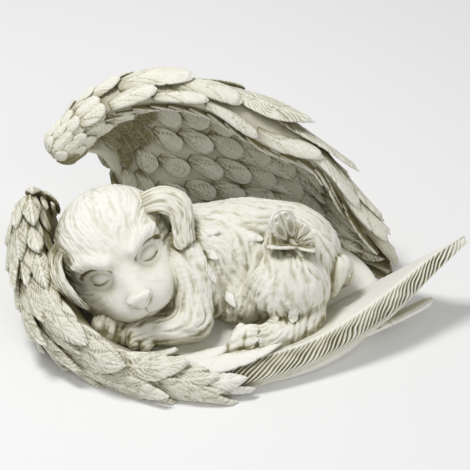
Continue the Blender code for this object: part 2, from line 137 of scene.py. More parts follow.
def blurred(grid: Array, reach: int) -> Array:
    """A grid averaged over a box round each cell, twice over.

    Args:
        grid: (nx, ny, nz) the values.
        reach: how many cells the box takes in on each side.

    Returns:
        The averages, in the grid's shape.
    """
    for _ in range(2):
        for axis in range(3):
            grid = sum(np.roll(grid, step, axis=axis) for step in range(-reach, reach + 1)) / (2 * reach + 1)
    return grid


def read_grid(grid: Array, place: Array) -> Array:
    """Reads a grid, each value blended from its eight neighbours in proportion to their nearness.

    Args:
        grid: (nx, ny, nz) the values.
        place: (n, 3) the places, counted in cells.

    Returns:
        (n,) the values there.
    """
    place = np.clip(place, 0, np.array(grid.shape) - 1.001)
    cell = place.astype(int)
    f = place - cell
    total = np.zeros(len(place))
    for corner in np.ndindex(2, 2, 2):
        total += grid[tuple((cell + corner).T)] * np.prod(np.where(corner, f, 1 - f), axis=1)
    return total


def sway(points: Array, size: float) -> Array:
    """A slow wandering direction at some places, each of its parts from -1 to 1."""
    return np.stack([smooth_noise(points, size, SEED + 20 + axis) for axis in range(3)], axis=-1)


def placed(name: str, data: bpy.types.ID) -> bpy.types.Object:
    """Puts a new object into the scene.

    Args:
        name: its name.
        data: its mesh, light or camera.

    Returns:
        The object.
    """
    thing = bpy.data.objects.new(name, data)
    bpy.context.scene.collection.objects.link(thing)
    return thing


@dataclass(frozen=True)
class Form:
    """A closed surface on its way to becoming part of a piece.

    Attributes:
        points: (n, 3) its points.
        faces: (m, 4) its four-sided faces, facing out.
        hollow: (n,) how deep in the carving each point lies, from 0 on a high place to 1; it darkens the
            colour as real wash and as painted shade.
        caps: faces of more than four sides, which close its ends.
    """

    points: Array
    faces: Array
    hollow: Array
    caps: list[Array] = field(default_factory=list)


def loft(rings: Array, hollow: Array | float = 0.0) -> Form:
    """A closed form through rings of equal count, each end closed by one face.

    Args:
        rings: (rings, around, 3) the rings' points.
        hollow: (rings, around) the carving's depth, or one depth for all.

    Returns:
        The form.
    """
    count, around, _ = rings.shape
    index = np.arange(count * around).reshape(count, around)
    turned = np.roll(index, -1, axis=1)
    faces = np.stack([index[:-1], turned[:-1], turned[1:], index[1:]], axis=-1).reshape(-1, 4)
    depth = np.broadcast_to(hollow, (count, around)).reshape(-1)
    return facing_out(Form(rings.reshape(-1, 3), faces, depth, [index[0][::-1], index[-1]]))


def facing_out(form: Form) -> Form:
    """Turns a form's faces round if they face in, told by the sign of the volume that they hold.

    Args:
        form: a closed form.

    Returns:
        The same form, facing out.
    """
    a, b, c, d = (form.points[form.faces[:, corner]] for corner in range(4))
    volume = np.einsum("ij,ij->i", a, np.cross(b, c)) + np.einsum("ij,ij->i", a, np.cross(c, d))
    if volume.sum() < 0:
        return replace(form, faces=form.faces[:, ::-1], caps=[cap[::-1] for cap in form.caps])
    return form


def tube(points: tuple | Array, radii: tuple, cell: float = 0.7, hollow: float = 0.0) -> Form:
    """A round limb: circles carried along a smooth curve, closing in quarter rounds at its ends.

    Args:
        points: the curve's points.
        radii: the limb's radius at evenly spaced places.
        cell: the grid's step.
        hollow: the depth that all of it counts as.

    Returns:
        The limb.
    """
    rough = curve_through(points, 30)
    length = np.linalg.norm(np.diff(rough, axis=0), axis=1).sum()
    centres = curve_through(points, max(int(length / cell), 6))
    sizes = curve_through(np.asarray(radii, float)[:, None], len(centres))[:, 0]
    turn = np.linspace(0, pi / 2, 7)[1:]
    first = centres[0] - unit_rows(centres[1] - centres[0]) * sizes[0] * np.sin(turn)[::-1, None]
    final = centres[-1] + unit_rows(centres[-1] - centres[-2]) * sizes[-1] * np.sin(turn)[:, None]
    sizes = np.concatenate([sizes[0] * np.cos(turn)[::-1], sizes, sizes[-1] * np.cos(turn)])
    centres = np.concatenate([first, centres, final])
    tangent = unit_rows(np.gradient(centres, axis=0))
    across = unit_rows(np.cross(tangent, NO_LIMB))
    over = np.cross(across, tangent)
    around = max(int(2 * pi * max(radii) / cell), 12)
    angle = np.linspace(0, 2 * pi, around, endpoint=False)[None, :, None]
    wave = np.cos(angle) * across[:, None] + np.sin(angle) * over[:, None]
    return loft(centres[:, None] + np.maximum(sizes, 0.03)[:, None, None] * wave, hollow)


def facing(path: Array, towards: tuple) -> Array:
    """Normals square to a path, turned as far as that allows to a given direction.

    Args:
        path: (n, 3) the path's points.
        towards: the direction.

    Returns:
        (n, 3) the normals.
    """
    tangent = unit_rows(np.gradient(path, axis=0))
    way = np.asarray(towards, float)
    return unit_rows(way - (tangent @ way)[:, None] * tangent)


class Skin:
    """A smooth sheet hung on guide curves: s runs along the wing and t across it.

    A point is read by carrying each guide's smooth curve to s, and then a smooth curve through
    those points to t.
    """

    def __init__(self, guides: list, side: int) -> None:
        """Hangs the sheet.

        Args:
            guides: the guide curves, each a list of points at even steps of s.
            side: 1 if its face points along the cross product of s and t, and -1 if against it.
        """
        self.guides = np.stack([np.asarray(guide, float) for guide in guides], axis=1)
        self.side = side

    def at(self, s: Array, t: Array) -> Array:
        """The sheet's points at some places.

        Args:
            s: places along the sheet.
            t: places across it.

        Returns:
            The points, in the places' shape and with three values each.
        """
        s, t = np.broadcast_arrays(np.asarray(s, float), np.asarray(t, float))
        stations, across, _ = self.guides.shape
        rows = np.repeat(self.guides.reshape(1, stations, -1), s.size, axis=0)
        sections = read_rows(rows, s.ravel()).reshape(s.size, across, 3)
        return read_rows(sections, t.ravel()).reshape(s.shape + (3,))

    def normal(self, s: Array, t: Array) -> Array:
        """The sheet's outward directions: the cross product of a short step each way.

        Args:
            s: places along the sheet.
            t: places across it.

        Returns:
            The directions, in the places' shape and with three values each.
        """
        t = np.clip(t, 0.02, 0.98)
        along = self.at(s + 0.01, t) - self.at(s - 0.01, t)
        across = self.at(s, t + 0.01) - self.at(s, t - 0.01)
        return self.side * unit_rows(np.cross(along, across))

    def set_off(self, distance: float) -> "Skin":
        """The sheet's other face, each guide point moved back along its normal.

        Args:
            distance: how far behind it.

        Returns:
            The other face.
        """
        stations, across, _ = self.guides.shape
        s, t = np.meshgrid(np.linspace(0, 1, stations), np.linspace(0, 1, across), indexing="ij")
        moved = self.guides - self.normal(s, t) * distance
        return Skin(list(moved.transpose(1, 0, 2)), -self.side)


class Tip(Enum):
    """How a feather ends: the two powers that its outline closes with."""

    ROUND = (2.2, 0.5)
    LEAF = (1.9, 0.8)
    BLUNT = (3.2, 0.5)


@dataclass(frozen=True)
class Plume:
    """One feather's make.

    Attributes:
        length: from root to tip.
        width: at its widest.
        root_lift: how far its root stands off the skin.
        tip_lift: how far its tip stands off.
        camber: how far its middle rises over its edges.
        round_from: the share of its length where the outline starts to close.
        root_width: its root's share of the width.
        thick: its thickness.
        tip: how it ends.
        barb: depth of the engraved barbs.
        pitch: step from barb to barb along the shaft.
        shaft: height of the shaft.
        rim: height of the raised edge.
        slant: how far the barbs run along the shaft for each step across it.
        cell: the step of the grid on its carved face.
    """

    length: float
    width: float
    root_lift: float = -0.6
    tip_lift: float = 2.6
    camber: float = 1.2
    round_from: float = 0.55
    root_width: float = 0.6
    thick: float = 2.0
    tip: Tip = Tip.ROUND
    barb: float = 0.30
    pitch: float = 3.6
    shaft: float = 0.30
    rim: float = 0.0
    slant: float = 2.1
    cell: float = 0.78

    NICK_DEPTH = 0.10
    NICK_REACH = 0.022
    DRIFT_SIZE = 4.5
    GRAIN_SIZE = 1.3
    SPLIT_DEPTH = 1.6
    SPLIT_REACH = 0.55

    def half_width(self, u: Array, seed: int) -> Array:
        """Half the width along the feather: a quarter sine from the root, a rounded end, two nicks.

        Args:
            u: places from the root to the tip, as shares of the length.
            seed: picks the nicks.

        Returns:
            Half the width at each place.
        """
        rise = self.root_width + (1 - self.root_width) * np.sin(pi / 2 * np.clip(u / self.round_from, 0, 1))
        past = np.clip((u - self.round_from) / (1 - self.round_from), 0, 1)
        nicks = np.ones_like(u)
        for place in self.splits(seed):
            nicks -= self.NICK_DEPTH * np.exp(-(((u - place) / self.NICK_REACH) ** 2))
        inner, outer = self.tip.value
        return self.width / 2 * rise * nicks * np.clip(1 - past**inner, 0.003, 1) ** outer

    @staticmethod
    def splits(seed: int) -> Array:
        """Where along the feather its vane is split."""
        return np.random.default_rng(seed + 77).uniform(0.35, 0.9, 2)

    def carving(self, along: Array, across: Array, share: Array, seed: int) -> Array:
        """The height of the barbs, splits, shaft and rim over the feather's smooth face.

        Barbs are grooves that leave the shaft at a slant, as a cosine of the distance along the
        shaft less the slant, with soft noise added so that no two are alike. A split is one deeper
        groove along the barbs' way.

        Args:
            along: distance from the root.
            across: distance from the shaft.
            share: distance from the shaft as a share of half the width, from -1 to 1.
            seed: makes this feather's own noise.

        Returns:
            Heights, in the shape of along.
        """
        place = np.stack([along, across, np.full_like(along, 5.3 * seed)], axis=-1).reshape(-1, 3)
        drift = smooth_noise(place, self.DRIFT_SIZE, SEED).reshape(along.shape)
        fine = smooth_noise(place, self.GRAIN_SIZE, SEED + 1).reshape(along.shape)
        slanted = along - self.slant * np.abs(across)
        groove = 0.5 - 0.5 * np.cos(2 * pi * (slanted / self.pitch + 0.8 * drift))
        side = np.clip(np.abs(share) / 0.15, 0, 1)
        height = -self.barb * groove**1.8 * side * (0.9 + 0.7 * drift)
        for place_along in self.splits(seed):
            reach = place_along * self.length - self.slant * self.width / 2
            notch = np.exp(-(((slanted - reach) / self.SPLIT_REACH) ** 2))
            height -= self.SPLIT_DEPTH * self.barb * notch * side
        flank = np.exp(-(((np.abs(across) - 1.2) / 0.5) ** 2))
        shaft = np.exp(-((across / 0.7) ** 2)) - 0.6 * flank
        height += self.shaft * shaft * (1 - 0.6 * along / self.length)
        return height + self.rim * np.exp(-(((np.abs(share) - 0.9) / 0.08) ** 2)) + 0.05 * fine


def plume_form(path: Array, normal: Array, plume: Plume, seed: int) -> Form:
    """A feather carried along a path, as closed rings of a carved upper and a plain lower face.

    Both faces stand off the path by the feather's lift, which grows from root to tip, and by its
    camber, a parabola across it. The rings lie closer towards the tip and towards both edges.

    Args:
        path: (n, 3) the line under its shaft, from root to tip.
        normal: (n, 3) the way its upper face looks along that line.
        plume: its make.
        seed: makes it unlike its neighbours.

    Returns:
        The feather.
    """
    steps = max(int(plume.length / (plume.cell * COARSE)), 10)
    even = np.linspace(0, 1, steps)
    u = 0.75 * even + 0.25 * np.sin(pi / 2 * even)
    rows = np.repeat(path[None], steps, axis=0)
    centre = read_rows(rows, u)
    up = unit_rows(read_rows(np.repeat(normal[None], steps, axis=0), u))
    tangent = unit_rows(np.gradient(centre, axis=0))
    side = unit_rows(np.cross(up, tangent))
    columns = max(int(plume.width / (plume.cell * COARSE)) // 2 * 2 + 1, 7)
    top = np.sin(np.linspace(-pi / 2, pi / 2, columns)) * 0.35 + np.linspace(-1, 1, columns) * 0.65
    under = np.array([0.6, 0.0, -0.6])
    share = np.concatenate([top, under])
    widths = plume.half_width(u, seed)
    across = widths[:, None] * share
    along = np.repeat((u * plume.length)[:, None], len(share), axis=1)
    carved = plume.carving(along, across, np.repeat(share[None], steps, axis=0), seed)
    is_top = np.arange(len(share)) < columns
    edge = np.abs(share) > 0.999
    lift = plume.root_lift + (plume.tip_lift - plume.root_lift) * u**1.3
    taper = np.clip((1 - u) / 0.08, 0.35, 1)
    body = plume.camber * (1 - share**2) + np.where(
        edge, 0, plume.thick * np.where(is_top, 0.5 - 0.32 * np.abs(share) ** 6, -0.5)
    )
    height = lift[:, None] + body * taper[:, None] + np.where(is_top & ~edge, carved, 0)
    rings = centre[:, None] + side[:, None] * across[..., None] + up[:, None] * height[..., None]
    # Lighter along the upper face's edges: partly wash worn off the raised rim, partly a painted highlight.
    lightened = 0.45 * np.exp(-(((np.abs(share) - 0.95) / 0.10) ** 2)) * is_top
    # Darker in the barbs' grooves, as real wash and painted shade, and painted shade over the whole
    # underside.
    depth = 1.25 * np.clip(-carved / 0.4, 0, 1) * is_top + 1.3 * ~is_top - lightened
    # Painted shade at the root, where the feather tucks under its neighbours; the lifted tip is lighter,
    # partly worn wash, partly painted highlight.
    root_shade_tip_light = 0.8 * np.clip(1 - u / 0.3, 0, 1) - 0.35 * np.clip((u - 0.85) / 0.15, 0, 1)
    return loft(rings, np.clip(depth + root_shade_tip_light[:, None], -0.6, 1.4))


def plume_on(
    skin: Skin, s: float, t: float, heading: tuple, plume: Plume, seed: int, stiff: float = 0.0
) -> Form:
    """A feather laid on a skin: a straight line in (s, t), as long as the feather, carries it.

    Args:
        skin: what it lies on.
        s: where its root is along the skin.
        t: where its root is across the skin.
        heading: the (s, t) way in which it points.
        plume: its make.
        seed: makes it unlike its neighbours.
        stiff: 0 if it bends with the skin and 1 if it runs straight from its root to its tip.

    Returns:
        The feather.
    """
    u = np.linspace(0, 1, 10)
    reach = 0.1
    for _ in range(3):
        path = skin.at(s + heading[0] * reach * u, t + heading[1] * reach * u)
        reach *= plume.length / np.linalg.norm(np.diff(path, axis=0), axis=1).sum()
    here, there = s + heading[0] * reach * u, t + heading[1] * reach * u
    path = skin.at(here, there)
    path = path + stiff * (path[0] + (path[-1] - path[0]) * u[:, None] - path)
    return plume_form(path, skin.normal(here, there), plume, seed)


def grounded(forms: list[Form]) -> list[Form]:
    """Eases forms up off the ground: a low height becomes an exponential that never reaches nought.

    Args:
        forms: the forms.

    Returns:
        The same forms, none of them under the ground.
    """
    eased = []
    for form in forms:
        points = form.points.copy()
        height = points[:, 2]
        points[:, 2] = np.where(height < LOW, LOW * np.exp(np.minimum(height, LOW) / LOW - 1), height)
        eased.append(replace(form, points=points))
    return eased


@dataclass(frozen=True)
class Row:
    """Feathers in a line on a skin, each value running evenly from the first to the last.

    Attributes:
        start: (s, t) of the first root.
        end: (s, t) of the last root.
        count: how many.
        heading: (s, t) direction in which they point.
        length: of the first and the last.
        width: of the first and the last.
        turn: what the last one's heading gains in t.
        make: what all of them share.
        wander: how much a feather may differ from its neighbours.
    """

    start: tuple
    end: tuple
    count: int
    heading: tuple
    length: tuple
    width: tuple
    turn: float = 0.0
    make: Plume = Plume(1, 1)
    wander: float = 1.0

    def forms(self, skin: Skin, seed: int) -> list[Form]:
        """The row's feathers.

        Args:
            skin: what they lie on.
            seed: makes the row unlike others.

        Returns:
            The feathers, from the first to the last.
        """
        made = []
        for number in range(self.count):
            share = number / max(self.count - 1, 1)
            luck = np.random.default_rng(seed * 100 + number).uniform(-1, 1, 5) * self.wander
            s, t = (a + (b - a) * share for a, b in zip(self.start, self.end))
            heading = (self.heading[0], self.heading[1] + self.turn * share + 0.04 * luck[0])
            plume = replace(
                self.make,
                length=(self.length[0] + (self.length[1] - self.length[0]) * share) * (1 + 0.06 * luck[1]),
                width=(self.width[0] + (self.width[1] - self.width[0]) * share) * (1 + 0.06 * luck[2]),
                tip_lift=self.make.tip_lift * (1 + 0.25 * luck[3]),
            )
            made.append(plume_on(skin, s + 0.004 * luck[4], t, heading, plume, seed * 100 + number))
        return made


def rows_on(skin: Skin, seed: int, rows: list[Row]) -> list[Form]:
    """The feathers of several rows on a skin, each row with a seed of its own."""
    return [form for number, row in enumerate(rows) for form in row.forms(skin, seed + number)]


BACK_RIM = [
    (-99, 29, 87), (-78, 37, 100.5), (-50, 42, 108), (-18, 41, 104),
    (14, 40, 82), (42, 37, 70), (63, 30, 41), (89, 24, 9),
]
BACK_CREST = [
    (-99, 38, 88), (-77, 50, 105), (-50, 58, 111), (-18, 58, 106.5),
    (14, 54, 93.5), (40, 46, 74), (60, 36, 47), (88, 27, 9),
]
BACK_FOOT = [
    (-95, 40, 80), (-72, 48, 68), (-56, 58, 10), (-22, 65, 5),
    (12, 65, 5), (40, 56, 5), (64, 38, 5), (86, 26, 5),
]
FRONT_INNER = [
    (-96, 32, 10), (-101, 16, 42), (-90, -8, 12), (-74, -34, 8), (-50, -46, 8), (-22, -46, 9),
    (12, -38, 10), (46, -14, 11), (84, 12, 14), (106, 6, 35), (123, 4, 47),
]
FRONT_CREST = [
    (-103, 34, 42), (-112, 12, 68), (-106, -15, 50), (-92, -44, 37), (-63, -62, 20), (-27, -64, 14),
    (8, -58, 14), (42, -47, 19), (75, -29, 31), (102, -10, 42), (122, 3, 48),
]
FRONT_OUTER = [
    (-108, 34, 32), (-121, 8, 54), (-119, -16, 36), (-104, -47, 21), (-67, -67, 11), (-28, -74, 8),
    (10, -69, 10), (46, -55, 15), (81, -35, 26), (106, -14, 37), (124, 1, 46),
]
FRONT_UNDER = [
    (-104, 34, 2), (-115, 8, 26), (-108, -20, 2), (-90, -48, 0), (-61, -66, 0), (-27, -73, 1),
    (9, -67, 2), (45, -53, 7), (79, -34, 19), (104, -13, 33), (123, 1, 44),
]
FRONT_KEEL = [
    (-97, 30, 0), (-102, 16, 26), (-88, -8, 0), (-72, -32, 0), (-48, -42, 0), (-20, -42, 0),
    (12, -34, 0), (46, -10, 2), (84, 8, 7), (106, 3, 30), (122, 3, 44),
]


def sagged(guide: list, other: list, share: float, back: float) -> Array:
    """A guide curve part of the way from one to another, set back by some millimetres."""
    first, second = np.asarray(guide, float), np.asarray(other, float)
    return first + (second - first) * share + np.array([0.0, back, 0.0])


def shader(tree: bpy.types.NodeTree, kind: str, values: dict, sources: dict) -> bpy.types.Node:
    """A new shader node.

    Args:
        tree: where it goes.
        kind: its type's name.
        values: the values of some inputs, by their names or numbers.
        sources: the outputs that feed others.

    Returns:
        The node.
    """
    node = tree.nodes.new("ShaderNode" + kind)
    for key, value in values.items():
        node.inputs[key].default_value = value
    for key, output in sources.items():
        tree.links.new(output, node.inputs[key])
    return node


@dataclass(frozen=True)
class CastStone:
    """Cream cast stone with an olive wash in its hollows, worn off its high places; the same dark colour
    also paints shade into hollows, gaps and crowded places.

    Attributes:
        name: the material's name.
        high: colour of the high places, with the least wash and painted shade, and of the edges' painted
            highlight.
        middle: colour of the plain faces.
        deep: colour of the wash in the hollows, which also serves as the darkest painted shade.
        stops: where on the scale of wash and painted shade those three colours lie.
        roughness: of the surface.
        gloss: how much it shines.
        cloud: scale of the noise that breaks the wash up.
        spread: how much that noise changes the wash.
        grain: scale of the stone's grain.
        grain_height: the grain's height in metres.
    """

    name: str = "cast_stone_cream"
    high: tuple = (0.90, 0.89, 0.82, 1.0)
    middle: tuple = (0.74, 0.725, 0.60, 1.0)
    # The darkest colour: the olive wash, and also the darkest painted shade.
    deep: tuple = (0.20, 0.18, 0.08, 1.0)
    stops: tuple = (0.06, 0.38, 1.0)
    roughness: float = 0.78
    gloss: float = 0.25
    cloud: float = 90.0
    spread: float = 0.42
    grain: float = 900.0
    grain_height: float = 0.0004

    def material(self) -> bpy.types.Material:
        """Builds the material: its colour follows the stored wash and painted shade, from the carving's
        depth and the crowding, and is broken up by noise.

        Returns:
            The material.
        """
        made = bpy.data.materials.new(self.name)
        made.use_nodes = True
        tree = made.node_tree
        surface = tree.nodes["Principled BSDF"]
        surface.inputs["Roughness"].default_value = self.roughness
        surface.inputs["Specular IOR Level"].default_value = self.gloss
        where = {"Vector": tree.nodes.new("ShaderNodeTexCoord").outputs["Object"]}
        cloud = shader(tree, "TexNoise", {"Scale": self.cloud, "Detail": 5.0, "Roughness": 0.6}, where)
        spread = shader(tree, "Math", {1: self.spread, 2: -self.spread / 2}, {0: cloud.outputs["Fac"]})
        spread.operation = "MULTIPLY_ADD"
        # The stored value holds real wash and painted shade together.
        wash_and_shade = tree.nodes.new("ShaderNodeAttribute")
        wash_and_shade.attribute_name = "wash_and_shade"
        depth = shader(tree, "Math", {}, {0: wash_and_shade.outputs["Fac"], 1: spread.outputs[0]})
        depth.operation = "ADD"
        ramp = shader(tree, "ValToRGB", {}, {"Fac": depth.outputs[0]})
        scale = ramp.color_ramp.elements
        scale[0].position, scale[1].position = self.stops[0], self.stops[2]
        scale[0].color, scale[1].color = self.high, self.deep
        scale.new(self.stops[1]).color = self.middle
        tree.links.new(ramp.outputs["Color"], surface.inputs["Base Color"])
        grain = shader(tree, "TexNoise", {"Scale": self.grain, "Detail": 3.0}, where)
        bump = shader(
            tree, "Bump", {"Strength": 0.22, "Distance": self.grain_height}, {"Height": grain.outputs["Fac"]}
        )
        tree.links.new(bump.outputs["Normal"], surface.inputs["Normal"])
        return made


class StoneWork:
    """Turns forms into finished pieces, once all are known, so that each can feel its neighbours.

    Where much stone stands close together the colour is darkened: partly the wash that stayed where the rub
    never reached, partly painted shade for the light that the crowding shuts out.
    """

    EVEN_WASH = 0.10
    # Weights of the darkening: the carving's depth gives real wash and painted shade, the crowding gives
    # painted occlusion shade.
    DEPTH_WASH_AND_SHADE = 0.45
    CROWD_SHADE_WASH = 0.75

    def __init__(self, finish: CastStone) -> None:
        """Starts with no pieces.

        Args:
            finish: what every piece is made of.
        """
        self.finish = finish
        self.planned: dict[str, list[Form]] = {}

    def plan(self, name: str, forms: list[Form], lightened: float = 0.0) -> None:
        """Adds a piece to be made.

        Args:
            name: the piece's name.
            forms: its closed forms.
            lightened: how much its wash and painted shade are taken down, in the hollows' own measure.
        """
        # Lightening lowers both the wash and the painted shade.
        self.planned[name] = [replace(form, hollow=form.hollow - lightened) for form in forms]
        LOG.info("%s: %d forms, %d points", name, len(forms), sum(len(form.points) for form in forms))

    def finish_all(self) -> None:
        """Makes every planned piece, once it is known how much stone is near every place."""
        crowd_shade = CrowdShade(np.concatenate([form.points for forms in self.planned.values() for form in forms]))
        material = self.finish.material()
        for name, forms in self.planned.items():
            self.piece(name, forms, crowd_shade, material)

    def piece(self, name: str, forms: list[Form], crowd_shade: "CrowdShade", material: bpy.types.Material) -> None:
        """Makes one object from several closed forms, riding on the statue and standing for its solid.

        Its colour's darkening is an even share of wash, more with the carving's depth, as real wash and
        painted shade, and more with the crowding, as painted occlusion shade.

        Args:
            name: the piece's name.
            forms: its closed forms.
            crowd_shade: what stands near it, which sets the painted occlusion shade.
            material: its finish.
        """
        starts = np.cumsum([0] + [len(form.points) for form in forms])
        points = np.concatenate([form.points for form in forms])
        quads = np.concatenate([form.faces + start for form, start in zip(forms, starts)])
        caps = [cap + start for form, start in zip(forms, starts) for cap in form.caps]
        mesh = bpy.data.meshes.new(name)
        sides = np.concatenate([np.full(len(quads), 4), [len(cap) for cap in caps]]).astype(int)
        loops = np.concatenate([quads.reshape(-1), *caps]).astype(int)
        mesh.vertices.add(len(points))
        mesh.vertices.foreach_set("co", ((points + CENTRING) * MM).ravel())
        mesh.loops.add(len(loops))
        mesh.loops.foreach_set("vertex_index", loops)
        mesh.polygons.add(len(sides))
        mesh.polygons.foreach_set("loop_start", np.concatenate([[0], np.cumsum(sides)[:-1]]))
        mesh.polygons.foreach_set("use_smooth", np.ones(len(sides), bool))
        mesh.update(calc_edges=True)
        normals = np.empty(len(points) * 3)
        mesh.vertices.foreach_get("normal", normals)
        # Painted occlusion shade: darker where much stone stands before a surface.
        near = crowd_shade.at(points, normals.reshape(-1, 3))
        # The colour's darkening: an even wash, the carving's depth as real wash and painted shade, the
        # crowding as painted shade.
        wash_and_shade = np.concatenate([form.hollow for form in forms])
        wash_and_shade = np.clip(self.EVEN_WASH + self.DEPTH_WASH_AND_SHADE * wash_and_shade + self.CROWD_SHADE_WASH * near, 0, 1)
        mesh.attributes.new("wash_and_shade", "FLOAT", "POINT").data.foreach_set("value", wash_and_shade)
        mesh.materials.append(material)
        thing = placed(name, mesh)
        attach(thing, BODY)
        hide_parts(NODE)
        LOG.info("%s: %d faces", name, len(sides))


class CrowdShade:
    """How much stone is near each place, which sets the painted occlusion shade: points counted in cells,
    then blurred wide and narrow.
    """

    CELL = 2.0
    MARGIN = 24.0
    NEAR_LOOK = 5.0
    FAR_LOOK = 12.0
    NEAR_FULL = 0.35
    FAR_FULL = 0.22

    def __init__(self, points: Array) -> None:
        """Counts the points.

        Args:
            points: (n, 3) points on every surface.
        """
        self.low = points.min(axis=0) - self.MARGIN
        shape = np.ceil((points.max(axis=0) + self.MARGIN - self.low) / self.CELL).astype(int)
        cell = ((points - self.low) / self.CELL).astype(int)
        full = np.zeros(shape, np.float32)
        full[tuple(cell.T)] = 1.0
        self.near = blurred(full, 1)
        self.wide = blurred(full, 3)

    def at(self, points: Array, normals: Array) -> Array:
        """How shut in each place is, 0 where it looks out freely and 1 deep in a corner.

        Args:
            points: (n, 3) the places.
            normals: (n, 3) the way that each looks.

        Returns:
            (n,) how much stone stands a little and a longer way before it.
        """
        near = read_grid(self.near, (points + normals * self.NEAR_LOOK - self.low) / self.CELL - 0.5)
        wide = read_grid(self.wide, (points + normals * self.FAR_LOOK - self.low) / self.CELL - 0.5)
        return np.clip(near / self.NEAR_FULL, 0, 1) * 0.5 + np.clip(wide / self.FAR_FULL, 0, 1) * 0.5


@dataclass
class BackWing:
    """The wing that stands behind the puppy, its hollow face forward and its top curled over.

    Attributes:
        thick: the sheet's thickness.
        sag: how far its face is set back at two heights, each a share of the way up.
        arm_line: the thick leading edge's points.
        arm_radii: its radius at each of them.
        inside: the hollow face.
        outside: the outer face.
    """

    thick: float = 5.0
    sag: tuple = ((0.33, 6.0), (0.70, 7.0))
    arm_line: tuple = ((-96, 35, 87), (-84, 41, 96), (-66, 47, 103), (-44, 50, 107))
    arm_radii: tuple = (9.5, 8.5, 6.0, 3.5)
    inside: Skin = field(init=False)
    outside: Skin = field(init=False)

    def __post_init__(self) -> None:
        """Hangs the inner and the outer skin."""
        low, high = (sagged(BACK_FOOT, BACK_CREST, share, back) for share, back in self.sag)
        self.inside = Skin([BACK_FOOT, low, high, BACK_CREST, BACK_RIM], 1)
        self.outside = self.inside.set_off(self.thick)

    def wall(self) -> Form:
        """The sheet between the two skins, drawn in to a round edge at both ends.

        Returns:
            The sheet.
        """
        even = 0.5 - 0.5 * np.cos(np.linspace(0, pi, 90))
        s, t = np.meshgrid(even, np.linspace(0, 1, 40), indexing="ij")
        inner, outer = self.inside.at(s, t), self.outside.at(s, t)
        outer = inner + (outer - inner) * np.sqrt(np.clip(np.minimum(s, 1 - s) / 0.015, 0.01, 1))[..., None]
        # The wall shows only in the gaps between its feathers; its fixed darkening is painted shade there.
        return loft(np.concatenate([inner, outer[:, ::-1]], axis=1), 0.4)

    def arm(self) -> Form:
        """The thick leading edge, from the rounded wrist along under the rim."""
        return tube(self.arm_line, self.arm_radii, hollow=0.5)

    def wrist_skin(self) -> Skin:
        """A skin round the leading edge: guides at even turns, from its underside over its front.

        Returns:
            The skin, which starts at a pole before the wrist.
        """
        centres = np.array(self.arm_line, float)
        tangent = unit_rows(np.gradient(centres, axis=0))
        across = unit_rows(np.cross(tangent, np.array([0.0, 1.0, 0.0])))
        forward = np.cross(tangent, across)
        sizes = np.array(self.arm_radii)[:, None]
        pole = centres[:1] - tangent[:1] * sizes[0]
        guides = []
        for turn in np.linspace(-0.75 * pi, 0.75 * pi, 7):
            ring = centres + sizes * (np.cos(turn) * forward + np.sin(turn) * across)
            shoulder = centres[:1] - 0.7 * tangent[:1] * sizes[0] + 0.72 * (ring[:1] - centres[:1])
            guides.append(np.concatenate([pole, shoulder, ring]))
        return Skin(guides, 1)

    def wrist_feathers(self) -> list[Form]:
        """Small tight feathers round the wrist.

        Returns:
            The feathers.
        """
        make = Plume(1, 1, -0.5, 1.6, 0.8, 0.5, 0.6, 1.4, Tip.ROUND, 0.2, 2.6, 0.2)
        rows = [
            Row((0.10 + 0.08 * (lane % 2), t), (0.86, t), 6, (1, 0.0), (10, 17), (7.5, 9), make=make)
            for lane, t in enumerate(np.linspace(0.06, 0.94, 9))
        ]
        return rows_on(self.wrist_skin(), 110, rows)

    def coverts(self) -> list[Form]:
        """The round feathers that lie like scales on the hollow face.

        Returns:
            The feathers.
        """
        make = Plume(
            1, 1, -0.8, 2.8, 1.0, 0.5, 0.6, 1.8, Tip.BLUNT, barb=0.24, pitch=3.0, shaft=0.2, rim=0.3
        )
        rows = [
            Row((0.00, 0.22), (0.00, 0.86), 7, (1, -1.2), (13, 12), (9, 9), 0.0, make),
            Row((0.06, 1.00), (0.66, 0.99), 14, (1, -0.15), (14, 26), (7, 9), 0.1, make),
            Row((0.04, 0.93), (0.42, 0.92), 9, (1, -0.9), (11, 22), (8, 13), 0.6, make),
            Row((0.05, 0.84), (0.46, 0.82), 8, (1, -1.2), (12, 25), (8, 16), 0.8, make),
            Row((0.03, 0.72), (0.50, 0.70), 9, (1, -1.3), (12, 27), (8, 17), 0.9, make),
            Row((0.05, 0.60), (0.53, 0.58), 9, (1, -1.3), (13, 27), (9, 17), 0.9, make),
            Row((0.04, 0.48), (0.56, 0.46), 9, (1, -1.3), (13, 27), (9, 16), 0.9, make),
            Row((0.06, 0.36), (0.58, 0.34), 9, (1, -1.2), (14, 26), (9, 15), 0.9, make),
            Row((0.12, 0.24), (0.58, 0.22), 8, (1, -1.0), (15, 24), (10, 14), 0.8, make),
            Row((0.20, 0.12), (0.60, 0.10), 7, (1, -0.5), (16, 22), (11, 13), 0.4, make),
        ]
        return rows_on(self.inside, 10, rows)

    def quills(self) -> list[Form]:
        """The long feathers that stream from the hollow face to the wing's low end.

        Returns:
            The feathers.
        """
        make = Plume(
            1, 1, -0.8, 2.8, 1.0, 0.45, 0.7, 2.0, Tip.LEAF, barb=0.5, pitch=4.2, shaft=0.45, slant=2.6
        )
        rows = [
            Row((0.47, 0.92), (0.50, 0.20), 8, (1, -0.12), (50, 36), (13, 12), 0.05, make),
            Row((0.59, 0.95), (0.62, 0.18), 8, (1, -0.08), (50, 34), (13, 11), 0.08, make),
            Row((0.72, 0.96), (0.74, 0.14), 7, (1, -0.04), (44, 32), (12, 10), 0.10, make),
            Row((0.84, 0.98), (0.85, 0.14), 8, (1, -0.02), (34, 22), (11, 9), 0.08, make),
        ]
        return rows_on(self.inside, 20, rows)

    STIFF_FROM = 45
